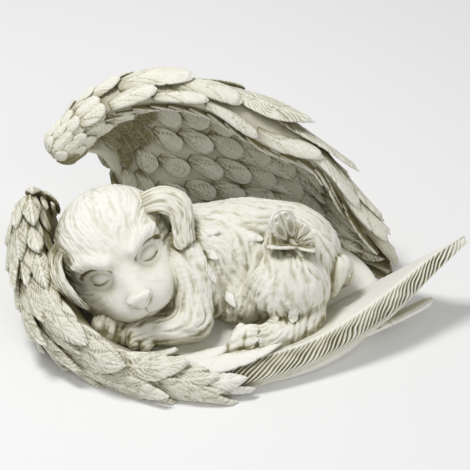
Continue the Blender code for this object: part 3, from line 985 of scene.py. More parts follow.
    # Each of the rim's own feathers: its root's place along and across the wing, its lean, its
    # length and width, and how far its tip lifts.
    LONG_RIM = (
        (0.02, 0.84, 0.02, 14, 9, 2.0),
        (0.03, 0.97, 0.02, 15, 10, 2.0),
        (0.07, 0.76, 0.10, 18, 10, 2.5),
        (0.08, 0.90, 0.05, 18, 11, 2.4),
        (0.10, 1.00, -0.02, 17, 12, 2.6),
        (0.12, 0.80, 0.05, 22, 11, 3.0),
        (0.15, 0.70, 0.05, 24, 11, 3.5),
        (0.19, 0.97, -0.12, 27, 12, 3.2),
        (0.21, 0.84, 0.00, 42, 17, 3.4),
        (0.26, 0.66, 0.05, 32, 15, 4.0),
        (0.30, 0.98, -0.02, 30, 10, 1.8),
        (0.34, 0.88, 0.02, 40, 14, 3.6),
        (0.37, 0.70, 0.02, 34, 12, 4.5),
        (0.42, 1.00, 0.00, 34, 9, 1.4),
        (0.42, 0.80, -0.02, 62, 16, 9.0),
        (0.45, 0.62, 0.00, 46, 15, 6.0),
        (0.54, 0.96, 0.00, 40, 11, 2.2),
        (0.56, 0.78, 0.00, 62, 15, 10.0),
        (0.60, 0.62, 0.02, 50, 14, 6.0),
        (0.68, 0.95, 0.00, 44, 11, 2.2),
        (0.72, 0.78, 0.00, 56, 12, 5.0),
        (0.74, 0.62, 0.02, 46, 12, 4.0),
        (0.80, 0.98, 0.00, 40, 9, 2.0),
        (0.82, 0.84, 0.00, 38, 10, 3.0),
        (0.84, 0.66, 0.00, 36, 10, 3.0),
    )

    def rim(self) -> list[Form]:
        """The pale smooth ovals over the curled top.

        Returns:
            The feathers.
        """
        make = Plume(1, 1, -0.8, 3.0, 1.4, 0.6, 0.55, 2.4, Tip.ROUND, barb=0.18, pitch=3.2, shaft=0.12)
        forms = []
        for number, (s, t, lean, length, width, lift) in enumerate(self.LONG_RIM):
            plume = replace(make, length=length, width=width, tip_lift=lift)
            long = length > self.STIFF_FROM
            if long:
                plume = replace(plume, tip=Tip.LEAF, barb=0.45, pitch=3.6, shaft=0.3)
            forms.append(plume_on(self.outside, s, t, (1, lean), plume, 300 + number, 0.8 * long))
        rows = [
            Row((0.00, 0.52), (0.30, 0.52), 6, (1, 0.20), (16, 36), (11, 17), make=make),
            Row((0.02, 0.64), (0.26, 0.62), 5, (1, 0.12), (15, 30), (10, 15), make=make),
        ]
        return forms + rows_on(self.outside, 30, rows)

    def back_feathers(self) -> list[Form]:
        """The plainer feathers down the wing's outer face.

        Returns:
            The feathers.
        """
        make = Plume(1, 1, tip_lift=3.6, barb=0.4, pitch=5.0, shaft=0.4, thick=2.2, tip=Tip.LEAF, cell=1.0)
        rows = [
            Row((0.24, -0.02), (0.82, 0.06), 6, (1, 0.04), (52, 40), (24, 18), 0.0, make, 2.0),
            Row((0.18, 0.10), (0.78, 0.20), 7, (1, 0.06), (54, 46), (26, 19), 0.0, make, 2.2),
            Row((0.10, 0.24), (0.74, 0.34), 8, (1, 0.08), (46, 50), (24, 20), 0.0, make, 2.2),
            Row((0.02, 0.36), (0.70, 0.48), 9, (1, 0.10), (32, 50), (20, 20), 0.0, make, 2.0),
        ]
        return rows_on(self.outside, 50, rows)

    def plan(self, work: StoneWork) -> None:
        """Plans the wing's pieces.

        Args:
            work: what makes them.
        """
        work.plan("back_wing_wall", [self.wall(), self.arm()])
        work.plan("wrist_feathers", self.wrist_feathers())
        work.plan("back_wing_coverts", self.coverts())
        work.plan("back_wing_quills", self.quills(), lightened=0.5)
        work.plan("back_wing_rim_feathers", self.rim())
        work.plan("back_wing_outer_feathers", grounded(self.back_feathers()))


@dataclass
class FrontWing:
    """The wing that wraps the puppy's head and runs on as the tray's long blade.

    Attributes:
        blade_from: where along the wing its blade starts.
        inner_from: where along it the fine lines of its inner face start.
        crest: where across it the crest runs.
        vane_pitch: step between the vane's barbs.
        vane_slant: how far they run along for each step across.
        vane_depth: how deep they are engraved.
        line_pitch: step between the inner face's fine lines.
        skin: the skin from the inner foot over the crest to the lower edge.
    """

    blade_from: float = 0.52
    inner_from: float = 0.30
    crest: float = 1 / 3
    vane_pitch: float = 3.2
    vane_slant: float = 1.25
    vane_depth: float = 1.7
    line_pitch: float = 1.9
    skin: Skin = field(init=False)

    def __post_init__(self) -> None:
        """Hangs the skin."""
        self.skin = Skin([FRONT_INNER, FRONT_CREST, FRONT_OUTER, FRONT_UNDER], -1)

    def wall(self) -> Form:
        """The wing's body, with the blade's vane engraved along its outer strip.

        The strip's barbs slant from its low edge up to the crest and along. The inner face has
        faint fine lines that follow the blade. Its rings shrink to a round end at the wrist, and
        none of them passes the ground.

        Returns:
            The body.
        """
        columns = int(116 / COARSE)
        rough = np.linspace(0, 0.5, int(110 / COARSE), endpoint=False)
        fine_part = np.linspace(0.5, 1, int(390 / COARSE))
        stations = len(rough) + len(fine_part)
        s, t = np.meshgrid(np.concatenate([rough, fine_part]), np.linspace(0, 1, columns), indexing="ij")
        points = self.skin.at(s, t)
        normal = self.skin.normal(s, t)
        middle = columns // 3
        run = np.cumsum(np.linalg.norm(np.diff(points[:, middle], axis=0), axis=1))
        along = np.repeat(np.concatenate([[0], run])[:, None], columns, axis=1)
        step = np.linalg.norm(np.diff(points, axis=1), axis=2)
        across = np.concatenate([np.zeros((stations, 1)), np.cumsum(step, axis=1)], axis=1)
        across = across - across[:, middle][:, None]
        place = np.stack([along, across, np.zeros_like(along)], axis=-1).reshape(-1, 3)
        drift = smooth_noise(place, 6.0, SEED + 2).reshape(along.shape)
        slanted = (along + self.vane_slant * across) / self.vane_pitch
        groove = 0.5 - 0.5 * np.cos(2 * pi * (slanted + 0.35 * drift))
        fine = 0.5 - 0.5 * np.cos(2 * pi * ((0.12 * along + across) / self.line_pitch + 1.2 * drift))
        blade = np.clip((s - self.blade_from) / 0.05, 0, 1)
        outer = blade * np.clip((t - self.crest) / 0.03, 0, 1) * np.clip((0.98 - t) / 0.06, 0, 1)
        outer *= np.clip((1.0 - s) / 0.05, 0.2, 1)
        inner = np.clip((self.crest - t) / 0.03, 0, 1) * np.clip((s - self.inner_from) / 0.1, 0, 1)
        crest = 0.8 * blade * np.exp(-(((t - self.crest) / 0.025) ** 2))
        engraved = -self.vane_depth * groove**1.4 * outer * (0.9 + 0.6 * drift)
        height = engraved - 0.16 * fine * inner + crest
        points = points + normal * height[..., None]
        even = curve_through(FRONT_KEEL, stations)
        keel = read_rows(np.repeat(even[None], stations, axis=0), s[:, 0])[:, None]
        # Darker in the vane's grooves, as real wash and painted shade, and painted shade on the wall where
        # it shows between the feathers; lighter on the crest, the blade's strip and the inner face.
        hollow = 1.9 * groove**1.6 * outer + 0.25 * fine * inner + 0.7 * (1 - blade)
        hollow = hollow - 0.6 * crest - 0.3 * outer - 1.2 * inner
        rings = np.concatenate([points, keel], axis=1)
        core = rings.mean(axis=1, keepdims=True)
        rings = core + (rings - core) * np.sqrt(np.clip(s[:, :1] / 0.02, 0.01, 1))[..., None]
        rings[..., 2] = np.maximum(rings[..., 2], 0)
        # The keel, the wing's underside, is darkened as painted shade.
        return loft(rings, np.concatenate([hollow, np.full((stations, 1), 0.8)], axis=1))

    # Each long feather: its root's place along and across the wing, its lean, length and width.
    LONG = (
        (0.13, 0.60, -0.10, 36, 12),
        (0.21, 0.66, -0.35, 42, 13.5),
        (0.24, 0.51, -0.65, 48, 15),
        (0.31, 0.49, -0.45, 44, 14),
        (0.33, 0.64, -2.20, 38, 13.5),
        (0.385, 0.48, -0.80, 46, 17),
        (0.46, 0.62, 2.60, 42, 12),
    )

    def feathers(self) -> list[Form]:
        """The feathers of the wall's outer face: rows of leaves, and long ones over them.

        Returns:
            The feathers.
        """
        make = Plume(1, 1, -0.8, 4.4, 1.8, 0.45, 0.5, 2.4, Tip.LEAF, barb=0.38, pitch=3.8, shaft=0.4)
        small = replace(make, tip_lift=2.6, barb=0.22, thick=1.8, camber=1.2, pitch=2.8, tip=Tip.ROUND)
        raised = replace(make, tip_lift=7.0)
        rows = [
            Row((0.00, 0.36), (0.00, 0.95), 5, (1, 0.03), (18, 22), (12, 15), 0.0, make),
            Row((0.03, 0.84), (0.44, 0.90), 9, (1, 0.45), (24, 44), (11, 14), 0.3, make, 1.6),
            Row((0.06, 0.66), (0.42, 0.74), 8, (1, 0.05), (24, 48), (12, 15), 0.0, make, 1.8),
            Row((0.02, 0.50), (0.42, 0.56), 9, (1, -0.1), (20, 48), (11, 15), 0.0, make, 1.8),
            Row((0.05, 0.36), (0.41, 0.45), 9, (1, 0.0), (17, 46), (10, 15), 0.0, make, 1.4),
            Row((0.03, 0.22), (0.18, 0.24), 5, (1, 0.0), (13, 20), (8, 10), 0.0, small),
        ]
        over = [
            plume_on(self.skin, s, t, (1, lean), replace(raised, length=length, width=width), 140 + number)
            for number, (s, t, lean, length, width) in enumerate(self.LONG)
        ]
        return over + rows_on(self.skin, 70, rows)

    def tray_feathers(self) -> list[Form]:
        """The long feathers that lie along the tray, and the one that shows under the blade.

        Returns:
            The feathers.
        """
        make = Plume(1, 1, -0.8, 2.8, 1.2, 0.55, 0.6, 2.2, Tip.LEAF, barb=0.2, pitch=3.4, shaft=0.2)
        ribbed = replace(make, barb=0.6, pitch=4.0)
        laid = (
            (0.41, 0.20, -1.80, 24, 8, make),
            (0.46, 0.28, -1.60, 38, 12, make),
            (0.49, 0.40, -1.10, 62, 14, make),
            (0.47, 0.60, 0.20, 44, 12, ribbed),
            (0.50, 0.80, 0.05, 36, 10, ribbed),
        )
        forms = [
            plume_on(self.skin, s, t, (1, lean), replace(shape, length=length, width=width), 400 + number)
            for number, (s, t, lean, length, width, shape) in enumerate(laid)
        ]
        path = curve_through([(62, -36, 10), (86, -22, 12), (106, -11, 16)], 10)
        under = Plume(52, 16, 0, 0, 1.0, 0.6, 0.7, 4.0, Tip.BLUNT, barb=0.5, pitch=4.0)
        forms.append(plume_form(path, facing(path, (0.3, -0.5, -0.8)), under, 99))
        return forms

    def plan(self, work: StoneWork) -> None:
        """Plans the wing's pieces.

        Args:
            work: what makes them.
        """
        work.plan("front_wing_wall", [self.wall()])
        work.plan("front_wing_feathers", grounded(self.feathers()))
        work.plan("tray_feathers", self.tray_feathers(), lightened=1.0)


@dataclass(frozen=True)
class Floor:
    """The oval floor that the puppy lies on.

    Attributes:
        centre: its middle.
        radii: its half length and half width.
        edge: heights up its drawn-in edge, each with its share of the radii.
        top: its height.
    """

    centre: tuple = (-14.0, 1.0)
    radii: tuple = (93.0, 69.0)
    edge: tuple = ((0.0, 0.30), (0.0, 0.97), (2.0, 0.99), (7.0, 1.0), (9.4, 0.995))
    top: float = 10.0

    def slab(self) -> Form:
        """Ovals stacked up the drawn-in edge and then closing in over the flat top.

        Returns:
            The slab.
        """
        angle = np.linspace(0, 2 * pi, int(220 / COARSE), endpoint=False)
        top = [(self.top, share) for share in np.linspace(0.985, 0.01, 24)]
        level, share = np.array([*self.edge, *top]).T[..., None]
        x = self.centre[0] + self.radii[0] * share * np.cos(angle)
        y = self.centre[1] + self.radii[1] * share * np.sin(angle)
        return loft(np.stack([x, y, np.broadcast_to(level, x.shape)], axis=-1))

    def plan(self, work: StoneWork) -> None:
        """Plans the floor."""
        # The floor keeps little of the wash and the painted occlusion shade.
        work.plan("floor", [self.slab()], lightened=1.3)


@dataclass(frozen=True)
class Ball:
    """An ellipsoid of clay.

    Attributes:
        centre: its middle.
        radii: along its own axes.
        blend: how softly it joins what is there.
        axes: its axes, as rows.
        cut: True if it is taken away instead of added.
    """

    centre: tuple
    radii: tuple
    blend: float = 6.0
    axes: Array | None = None
    cut: bool = False

    def box(self) -> tuple[Array, Array]:
        """Its lowest and highest corners."""
        reach = max(self.radii) + self.blend + 3
        return np.asarray(self.centre) - reach, np.asarray(self.centre) + reach

    def distance(self, points: Array) -> Array:
        """Distance to it, negative inside, near enough close to its surface.

        It is the length scaled by the radii, times what that exceeds one by, over the length
        scaled twice.

        Args:
            points: (..., 3) places.

        Returns:
            (...) distances.
        """
        local = points - np.asarray(self.centre, np.float32)
        if self.axes is not None:
            local = local @ np.asarray(self.axes, np.float32).T
        radii = np.asarray(self.radii, np.float32)
        once = np.linalg.norm(local / radii, axis=-1)
        twice = np.linalg.norm(local / radii**2, axis=-1)
        return once * (once - 1) / np.maximum(twice, 1e-4)


@dataclass(frozen=True)
class Limb:
    """A round run of clay along a curve.

    Attributes:
        points: the curve's points.
        radii: its radius at each point.
        blend: how softly it joins what is there.
        cut: True if it is taken away instead of added.
        steps: how many straight runs stand for the curve.
    """

    points: tuple | Array
    radii: tuple
    blend: float = 4.0
    cut: bool = False
    steps: int = 10

    def box(self) -> tuple[Array, Array]:
        """Its lowest and highest corners."""
        reach = max(self.radii) + self.blend + 3
        return np.min(self.points, axis=0) - reach, np.max(self.points, axis=0) + reach

    def distance(self, points: Array) -> Array:
        """Distance to the nearest of its runs, each one's radius running evenly.

        Args:
            points: (..., 3) places.

        Returns:
            (...) distances, negative inside.
        """
        line = curve_through(self.points, self.steps + 1)
        sizes = curve_through(np.asarray(self.radii, float)[:, None], self.steps + 1)[:, 0]
        nearest = np.full(points.shape[:-1], 1e6, np.float32)
        for run in range(self.steps):
            start, way = line[run], line[run + 1] - line[run]
            local = points - start.astype(np.float32)
            share = np.clip(local @ way.astype(np.float32) / (way @ way), 0, 1)
            local = local - share[..., None] * way.astype(np.float32)
            size = sizes[run] + share * (sizes[run + 1] - sizes[run])
            nearest = np.minimum(nearest, np.linalg.norm(local, axis=-1) - size)
        return nearest


class Clay:
    """A block of space in which forms are blended, and the surface drawn over them."""

    EMPTY = 30.0
    FULL_HOLLOW = 0.16

    def __init__(self, low: tuple, high: tuple, step: float) -> None:
        """Empties the block.

        Args:
            low: its lowest corner.
            high: its highest corner.
            step: the grid's step.
        """
        self.low, self.step = np.asarray(low, float), step
        shape = np.ceil((np.asarray(high) - self.low) / step).astype(int) + 1
        self.field = np.full(shape, self.EMPTY, np.float32)

    def window(self, low: Array, high: Array) -> tuple[tuple, Array]:
        """The part of the grid that lies in a box.

        Args:
            low: the box's lowest corner.
            high: its highest corner.

        Returns:
            The part's slices, and its points.
        """
        first = np.clip(np.floor((low - self.low) / self.step).astype(int), 0, self.field.shape)
        final = np.clip(np.ceil((high - self.low) / self.step).astype(int) + 1, 0, self.field.shape)
        part = tuple(slice(a, b) for a, b in zip(first, final))
        axes = [self.low[i] + self.step * np.arange(first[i], final[i]) for i in range(3)]
        grid = np.stack(np.meshgrid(*axes, indexing="ij"), axis=-1).astype(np.float32)
        return part, grid

    def work(self, shapes: list) -> None:
        """Adds or cuts each shape in turn.

        Two distances a and b join as the smaller one, less the square of how far their difference
        falls short of the blend, over four times the blend. A cut is the same, turned inside out.

        Args:
            shapes: the shapes, each with a box, a distance, a blend and a cut.
        """
        for shape in shapes:
            part, grid = self.window(*shape.box())
            if grid.size == 0:
                continue
            there, here = self.field[part], shape.distance(grid).astype(np.float32)
            if shape.cut:
                there = -there
            short = np.maximum(shape.blend - np.abs(there - here), 0)
            joined = np.minimum(there, here) - short * short / (4 * shape.blend)
            self.field[part] = -joined if shape.cut else joined

    def floor(self, level: float) -> None:
        """Cuts everything below a level."""
        heights = self.low[2] + self.step * np.arange(self.field.shape[2], dtype=np.float32)
        self.field = np.maximum(self.field, (level - heights)[None, None, :])

    def surface(self) -> tuple[Array, Array]:
        """The surface where the distance is nought.

        Each cell that it crosses gets one point, the mean of its edges' crossings, and each grid
        edge that it crosses gets one face through the four cells around it.

        Returns:
            The points and the faces.
        """
        inside = self.field < 0
        count = np.zeros(np.array(inside.shape) - 1, np.int8)
        for corner in np.ndindex(2, 2, 2):
            part = tuple(slice(c, n - 1 + c) for c, n in zip(corner, inside.shape))
            count += inside[part]
        cells = np.argwhere((count > 0) & (count < 8))
        total, hits = np.zeros((len(cells), 3)), np.zeros(len(cells))
        for axis in range(3):
            others = [other for other in range(3) if other != axis]
            for offset in np.ndindex(2, 2):
                near = cells.copy()
                near[:, others] += offset
                far = near.copy()
                far[:, axis] += 1
                a, b = self.field[tuple(near.T)], self.field[tuple(far.T)]
                crossed = (a < 0) != (b < 0)
                share = np.where(crossed, a / np.where(crossed, a - b, 1), 0)
                point = near.astype(float)
                point[:, axis] += share
                total += point * crossed[:, None]
                hits += crossed
        points = total / hits[:, None] * self.step + self.low
        number = np.full(count.shape, -1, np.int64)
        number[tuple(cells.T)] = np.arange(len(cells))
        faces = []
        for axis in range(3):
            b, c = [other for other in range(3) if other != axis]
            before = tuple(slice(0, -1) if other == axis else slice(1, -1) for other in range(3))
            after = tuple(slice(1, None) if other == axis else slice(1, -1) for other in range(3))
            changed = np.argwhere(inside[before] != inside[after])
            changed[:, [b, c]] += 1
            corners = []
            for down, over in ((0, 0), (1, 0), (1, 1), (0, 1)):
                at = changed.copy()
                at[:, b] -= down
                at[:, c] -= over
                corners.append(number[tuple(at.T)])
            quads = np.stack(corners, axis=1)
            leaving = inside[tuple(changed.T)]
            turned = leaving if axis != 1 else ~leaving
            quads[turned] = quads[turned][:, ::-1]
            faces.append(quads)
        quads = np.concatenate(faces)
        return points, quads[(quads >= 0).all(axis=1)]

    def depth(self, points: Array) -> Array:
        """The distance to the surface at some places, negative inside."""
        return read_grid(self.field, (points - self.low) / self.step)

    def hollows(self, points: Array) -> Array:
        """How hollow the surface is at some places: 1 in a groove, 0 where it's flat or bulges."""
        around = read_grid(blurred(self.field, 1), (points - self.low) / self.step)
        return np.clip((self.depth(points) - around) / self.FULL_HOLLOW, 0, 1)

    def normals(self, points: Array) -> Array:
        """Outward directions: the slope of the distances, blended near each point.

        Args:
            points: (n, 3) places.

        Returns:
            (n, 3) directions.
        """
        place = np.clip((points - self.low) / self.step, 1, np.array(self.field.shape) - 3)
        cell = place.astype(int)
        f = place - cell
        slope = np.zeros((len(points), 3))
        for corner in np.ndindex(2, 2, 2):
            weight = np.prod(np.where(corner, f, 1 - f), axis=1)
            at = cell + corner
            for axis in range(3):
                ahead, behind = at.copy(), at.copy()
                ahead[:, axis] = np.minimum(ahead[:, axis] + 1, self.field.shape[axis] - 1)
                behind[:, axis] = np.maximum(behind[:, axis] - 1, 0)
                slope[:, axis] += weight * (self.field[tuple(ahead.T)] - self.field[tuple(behind.T)])
        return unit_rows(slope)


@dataclass(frozen=True)
class Comb:
    """Combed fur: noise drawn out along the way the coat lies, fine hairs over broader locks.

    Attributes:
        fine: the hairs' spacing.
        broad: the locks' spacing.
        reach: how far a hair runs each way.
        steps: how many places are read each way.
    """

    fine: float = 1.0
    broad: float = 2.3
    reach: float = 9.0
    steps: int = 7

    def heights(self, points: Array, flow: Callable, seed: int) -> Array:
        """The coat's height over the bare form, about -1 in a groove to 1 on a hair.

        Both noises are averaged along the line that the coat follows through each point.

        Args:
            points: (n, 3) points on the form.
            flow: gives the coat's way at (n, 3) places.
            seed: picks the noise.

        Returns:
            (n,) heights.
        """
        fine, broad = np.zeros(len(points)), np.zeros(len(points))
        for way in (-1.0, 1.0):
            place = points.copy()
            for _ in range(self.steps):
                place = place + way * self.reach / self.steps * flow(place)
                fine += smooth_noise(place, self.fine, seed)
                broad += smooth_noise(place, self.broad, seed + 1)
        return 0.55 * np.tanh(0.9 * fine / fine.std()) + 0.45 * np.tanh(0.9 * broad / broad.std())


@dataclass(frozen=True)
class Ear:
    """A thin ear flap, as a sheet with a rolled edge between guide curves.

    Attributes:
        skin: the sheet, from the ear's root to its tip and from one edge to the other.
        thick: the flap's thickness.
        grid: how many points lie along and across it.
        coat: height of its hairs.
    """

    skin: Skin
    thick: float = 2.2
    grid: tuple = (64, 90)
    coat: float = 0.6

    def form(self) -> Form:
        """The flap: rings across it, thick in the middle and round at its edges.

        Returns:
            The flap.
        """
        rows, columns = (int(count / COARSE) for count in self.grid)
        s, t = np.meshgrid(np.linspace(0, 1, rows), np.linspace(0, 1, columns), indexing="ij")
        middle, normal = self.skin.at(s, t), self.skin.normal(s, t)
        half = self.thick / 2 * np.sqrt(np.clip(1 - np.abs(2 * t - 1) ** 5, 0.02, 1))
        half *= np.sqrt(np.clip((1 - s) / 0.06, 0.03, 1))
        hairs = np.stack([9 * s, 40 * t + 5 * s, np.zeros_like(s)], axis=-1).reshape(-1, 3)
        coat = smooth_noise(hairs, 1.0, SEED + 3).reshape(s.shape)
        offset = normal * (half + self.coat * coat)[..., None]
        shade = np.clip(-coat, 0, 1) * 1.3
        hollow = np.concatenate([shade, shade[:, ::-1]], axis=1)
        return loft(np.concatenate([middle + offset, (middle - offset)[:, ::-1]], axis=1), hollow)


@dataclass(frozen=True)
class Puppy:
    """The sleeping puppy: a head with closed eyes and folded ears, and a curled body.

    Attributes:
        head_place: the head's middle.
        head_axes: its own axes, forward, left and up, scaled to length one where they are used.
        ground: the height that it lies on.
        head_step: step of the head's grid.
        body_step: step of the body's grid.
        head_coat: height of the fur on the head.
        body_coat: height of the fur on the body.
    """

    head_place: tuple = (-67.0, -2.0, 44.0)
    head_axes: tuple = ((0.31, -0.95, 0.06), (0.88, 0.29, 0.37), (-0.37, -0.06, 0.93))
    ground: float = 9.5
    head_step: float = 0.56
    body_step: float = 0.73
    head_coat: float = 0.46
    body_coat: float = 0.78

    def head_shapes(self) -> list:
        """The head's bare clay, along the head's own axes.

        Returns:
            The shapes.
        """
        shapes = [
            Ball((-2, 0, 1), (34, 33, 32.5), 12),
            Ball((29, 0, -11), (16, 14.5, 11), 11),
            Limb(((10, 0, 12), (25, 0, 5), (41, 0, -2)), (9, 7.5, 5.2), 9),
        ]
        for side in (-1, 1):
            shapes.append(Ball((14, side * 18, -11), (17, 13, 13), 8))
            shapes.append(Ball((31.8, side * 8.4, -11), (11.2, 9.4, 8.8), 9))
        return shapes

    def eye_shapes(self, side: int) -> list:
        """A closed eye: a shallow socket under the brow, the lid's dome and the lashes' line.

        The lid is an ellipsoid with its own axes: out of the face, along the slit and across it.
        Places on it are given along the slit and across it, and lie on its surface.

        Args:
            side: 1 for the left eye and -1 for the right one.

        Returns:
            The shapes.
        """
        seat = np.array([27.5, 15.4, 6.8])
        along = unit_rows(np.array([-0.54, 0.83, -0.15]))
        out = np.array([0.88, 0.44, 0.17])
        out = unit_rows(out - (out @ along) * along)
        over = np.cross(out, along)
        over = over * np.sign(over[2])
        radii = (4.7, 7.2, 5.1)
        centre = seat - out * 4.0
        mirror = np.array([1, side, 1])
        turned = np.stack([out * mirror, along * mirror, over * mirror])

        def on_lid(heights: tuple, lift: float) -> Array:
            """A line over the lid, which is read off its ellipsoid at five places along the slit.

            Args:
                heights: how far across the lid it runs at each of them.
                lift: how far it stands off the lid.

            Returns:
                (5, 3) the line's points.
            """
            slit, across = np.array([-6.4, -3.6, 0, 3.6, 6.4])[:, None], np.array(heights)[:, None]
            rest = np.maximum(1 - (slit / radii[1]) ** 2 - (across / radii[2]) ** 2, 0.12)
            return (centre + along * slit + over * across + out * (radii[0] * rest**0.5 + lift)) * mirror

        brow = np.array([
            (30.8, 7.6, 10.8), (29.4, 8.6, 12.8), (27, 10.5, 14.2),
            (24.8, 15.5, 14), (22, 20.5, 12), (20, 24, 8),
        ])
        ridge = np.array([(29.5, 8, 16), (23.5, 15.4, 16.8), (18.6, 22.6, 14)])
        return [
            Limb(ridge * mirror, (2.6, 3.0, 2.4), 6),
            Ball(tuple((seat + out * 8.2) * mirror), (8.0, 9.8, 7.0), 5.0, cut=True),
            Limb(brow * mirror, (0.1, 0.4, 0.7, 0.8, 0.6, 0.3), 2.2, cut=True),
            Ball(tuple(centre * mirror), radii, 0.8, axes=turned),
            Limb(on_lid((-0.6, -3.3, -4.2, -3.6, -1.2), 0.2), (0.3, 0.9, 1.1, 0.9, 0.3), 2.0),
            Limb(on_lid((-0.2, -2.1, -2.9, -2.4, -0.6), 0.3), (0.1, 0.5, 0.6, 0.5, 0.1), 0.4, cut=True),
        ]

    def muzzle_shapes(self) -> list:
        """Nose, nostrils, the lip's cleft, the mouth's line and the chin.

        Returns:
            The shapes.
        """
        shapes = [
            Ball((31, 0, -18.5), (11, 8.5, 5), 2.2),
            Ball((45.8, -0.6, -1.6), (4.6, 7.4, 3.7), 1.0),
            Ball((45.4, -0.4, -4.6), (4.3, 4.6, 2.8), 0.8),
            Limb(((46.6, -6.6, -0.6), (48.4, -0.6, 0.7), (46.6, 5.4, -0.6)), (1.3, 1.8, 1.3), 1.2),
            Limb(((47.2, -0.5, -6.6), (46.8, -0.5, -9.2), (46.2, -0.5, -12.5)), (0.4, 0.7, 0.5), 0.9, True),
        ]
        under = ((44.2, 8.0, -0.8), (45.8, 6.2, -4.2), (46.8, 3.0, -6.8), (47.0, 0.0, -7.2))
        for side in (-1, 1):
            mouth = ((44.4, 0, -15), (42, side * 6, -17), (35, side * 12.8, -17.6), (24, side * 17.5, -14))
            line = tuple((forward, side * left - 0.6, up) for forward, left, up in under)
            middle = side * 3.0 - 0.6
            outer = middle + side * 4.4
            nostril = ((49.9, middle, -3.4), (48.9, (middle + outer) / 2, -2.4), (46.6, outer, -0.8))
            shapes.append(Limb(mouth, (0.3, 0.6, 0.8, 0.5), 1.4, cut=True))
            shapes.append(Limb(line, (0.4, 0.8, 0.8, 0.6), 0.7, cut=True))
            shapes.append(Limb(nostril, (1.0, 1.2, 0.9), 0.5, cut=True, steps=5))
        return shapes

    def near_ear(self) -> Form:
        """The ear that folds over at the head's left side and hangs on the shoulder.

        Returns:
            The ear.
        """
        back = [
            (-60, 9, 68.5), (-46, 10, 75.4), (-36, 8, 76.6), (-28.4, 4, 74.4),
            (-25.6, -1, 68.6), (-24.6, -7, 63), (-23.6, -13, 58.4),
        ]
        ridge = [
            (-59, 2, 69.5), (-45, 3, 77.6), (-35.6, 2, 78), (-29.4, -2, 74.6),
            (-27.6, -7, 68.8), (-27.4, -12, 62.6), (-26.6, -16, 57.6),
        ]
        front = [
            (-57, -5, 68), (-44, -6, 73.2), (-37.6, -8, 71.4), (-35, -11, 67),
            (-34.4, -14.4, 62), (-33.4, -16.8, 58), (-30.4, -18, 55.6),
        ]
        rolled = [
            (-54, -4, 66), (-43.2, -1.6, 68.8), (-36.2, -3.6, 66.6), (-32.6, -6.8, 63.6),
            (-32.2, -11, 59.8), (-31.8, -14.6, 56.6), (-30.0, -16.8, 54.8),
        ]
        return Ear(Skin([back, ridge, front, rolled], -1)).form()

    def far_ear(self) -> Form:
        """The ear that hangs down the head's right side, behind the cheek.

        Its guides are drawn close to the head and then swing out, over the wing's edge.

        Returns:
            The ear.
        """
        back = [
            (-98, -2, 50), (-103, -8, 44), (-103, -14, 38), (-98.5, -20, 32.5), (-91, -26, 28.5),
            (-82.5, -33, 29),
        ]
        ridge = [
            (-98, -6, 51), (-101.5, -13, 46), (-100, -19.5, 41), (-95, -25.5, 36), (-88.5, -30, 31.6),
            (-82, -34, 29.6),
        ]
        front = [
            (-97, -9, 51.5), (-97.5, -17, 48), (-94.5, -24, 43.6), (-90, -28.4, 38.6), (-85.6, -31.6, 33.6),
            (-81.4, -34.4, 30.6),
        ]
        valley = [(a, b - 0.6, c - 1.6) for a, b, c in front]
        edge = [(a + 2.6, b - 3.4, c + 0.6) for a, b, c in front]
        swing = np.array([0, 5, 11, 14, 13, 9])[:, None] * np.array([0, -0.79, 0.62])
        return Ear(Skin([guide + swing for guide in (back, ridge, valley, edge)], -1), 2.0).form()

    def head(self) -> Form:
        """The head, modelled along its own axes and then turned into its place.

        Its coat stands off it by its height, less on the nose, the lids and the muzzle.

        Returns:
            The head.
        """
        clay = Clay((-40, -42, -36), (54, 50, 44), self.head_step * COARSE)
        clay.work(self.head_shapes())
        clay.work(self.eye_shapes(-1) + self.eye_shapes(1) + self.muzzle_shapes())
        points, quads = clay.surface()
        normals = clay.normals(points)

        def flow(places: Array) -> Array:
            """The way the coat lies: back from the nose, with a slow sway.

            Args:
                places: (n, 3) places on the head.

            Returns:
                (n, 3) ways along the surface.
            """
            facing = clay.normals(places)
            away = unit_rows(places - np.array([40.0, 0.0, 4.0])) + 0.45 * sway(places, 7.0)
            return unit_rows(away - (away * facing).sum(axis=1, keepdims=True) * facing)

        coat = Comb(fine=1.0, broad=1.9, reach=5.0).heights(points, flow, SEED + 5)
        bare = np.exp(-(np.linalg.norm((points - (45, 0, -4)) / (6, 9, 6), axis=1) ** 4))
        for side in (-1, 1):
            lid = np.linalg.norm((points - (28, side * 15.4, 6)) / (9, 9, 6.5), axis=1)
            bare = np.maximum(bare, np.exp(-(lid**4)))
        calm = np.clip((points[:, 0] - 20) / 14, 0, 0.75)
        share = (1 - bare) * (1 - calm)
        hollow = clay.hollows(points)
        points = points + normals * (self.head_coat * share * coat)[:, None]
        world = points @ unit_rows(np.array(self.head_axes)) + self.head_place
        # Darker in the coat's grooves and the clay's creases, as real wash and painted shade.
        wash_and_shade = (0.75 * np.clip(-coat, 0, 1) - 0.2) * share - 0.15 + 0.95 * hollow
        return facing_out(Form(world, quads, wash_and_shade))

    def body_shapes(self) -> list:
        """The body's clay, in the statue's own frame.

        Returns:
            The shapes.
        """
        shapes = [
            Ball((-30, 2, 34), (31, 30, 27), 12),
            Ball((2, 9, 34), (42, 30, 28), 9),
            Ball((27, 4, 33), (29, 31, 28), 9),
            Ball((-46, -10, 28), (20, 22, 20), 7),
            Ball((-42, -22, 20), (16, 14, 13), 5),
            Ball((4, -15, 22), (24, 18, 17), 5),
            Ball((25, -17, 31), (24.5, 22.5, 23.5), 1.6),
            Limb(((36, -25, 24), (38, -31, 20), (30, -38, 17.5), (16, -44, 17)), (9, 8.4, 8, 8), 1.6),
            Ball((7, -46.5, 17), (10.5, 8.5, 8), 2.0),
        ]
        return shapes + self.foreleg_shapes() + self.tail_shapes() + self.toe_shapes() + self.crease_shapes()

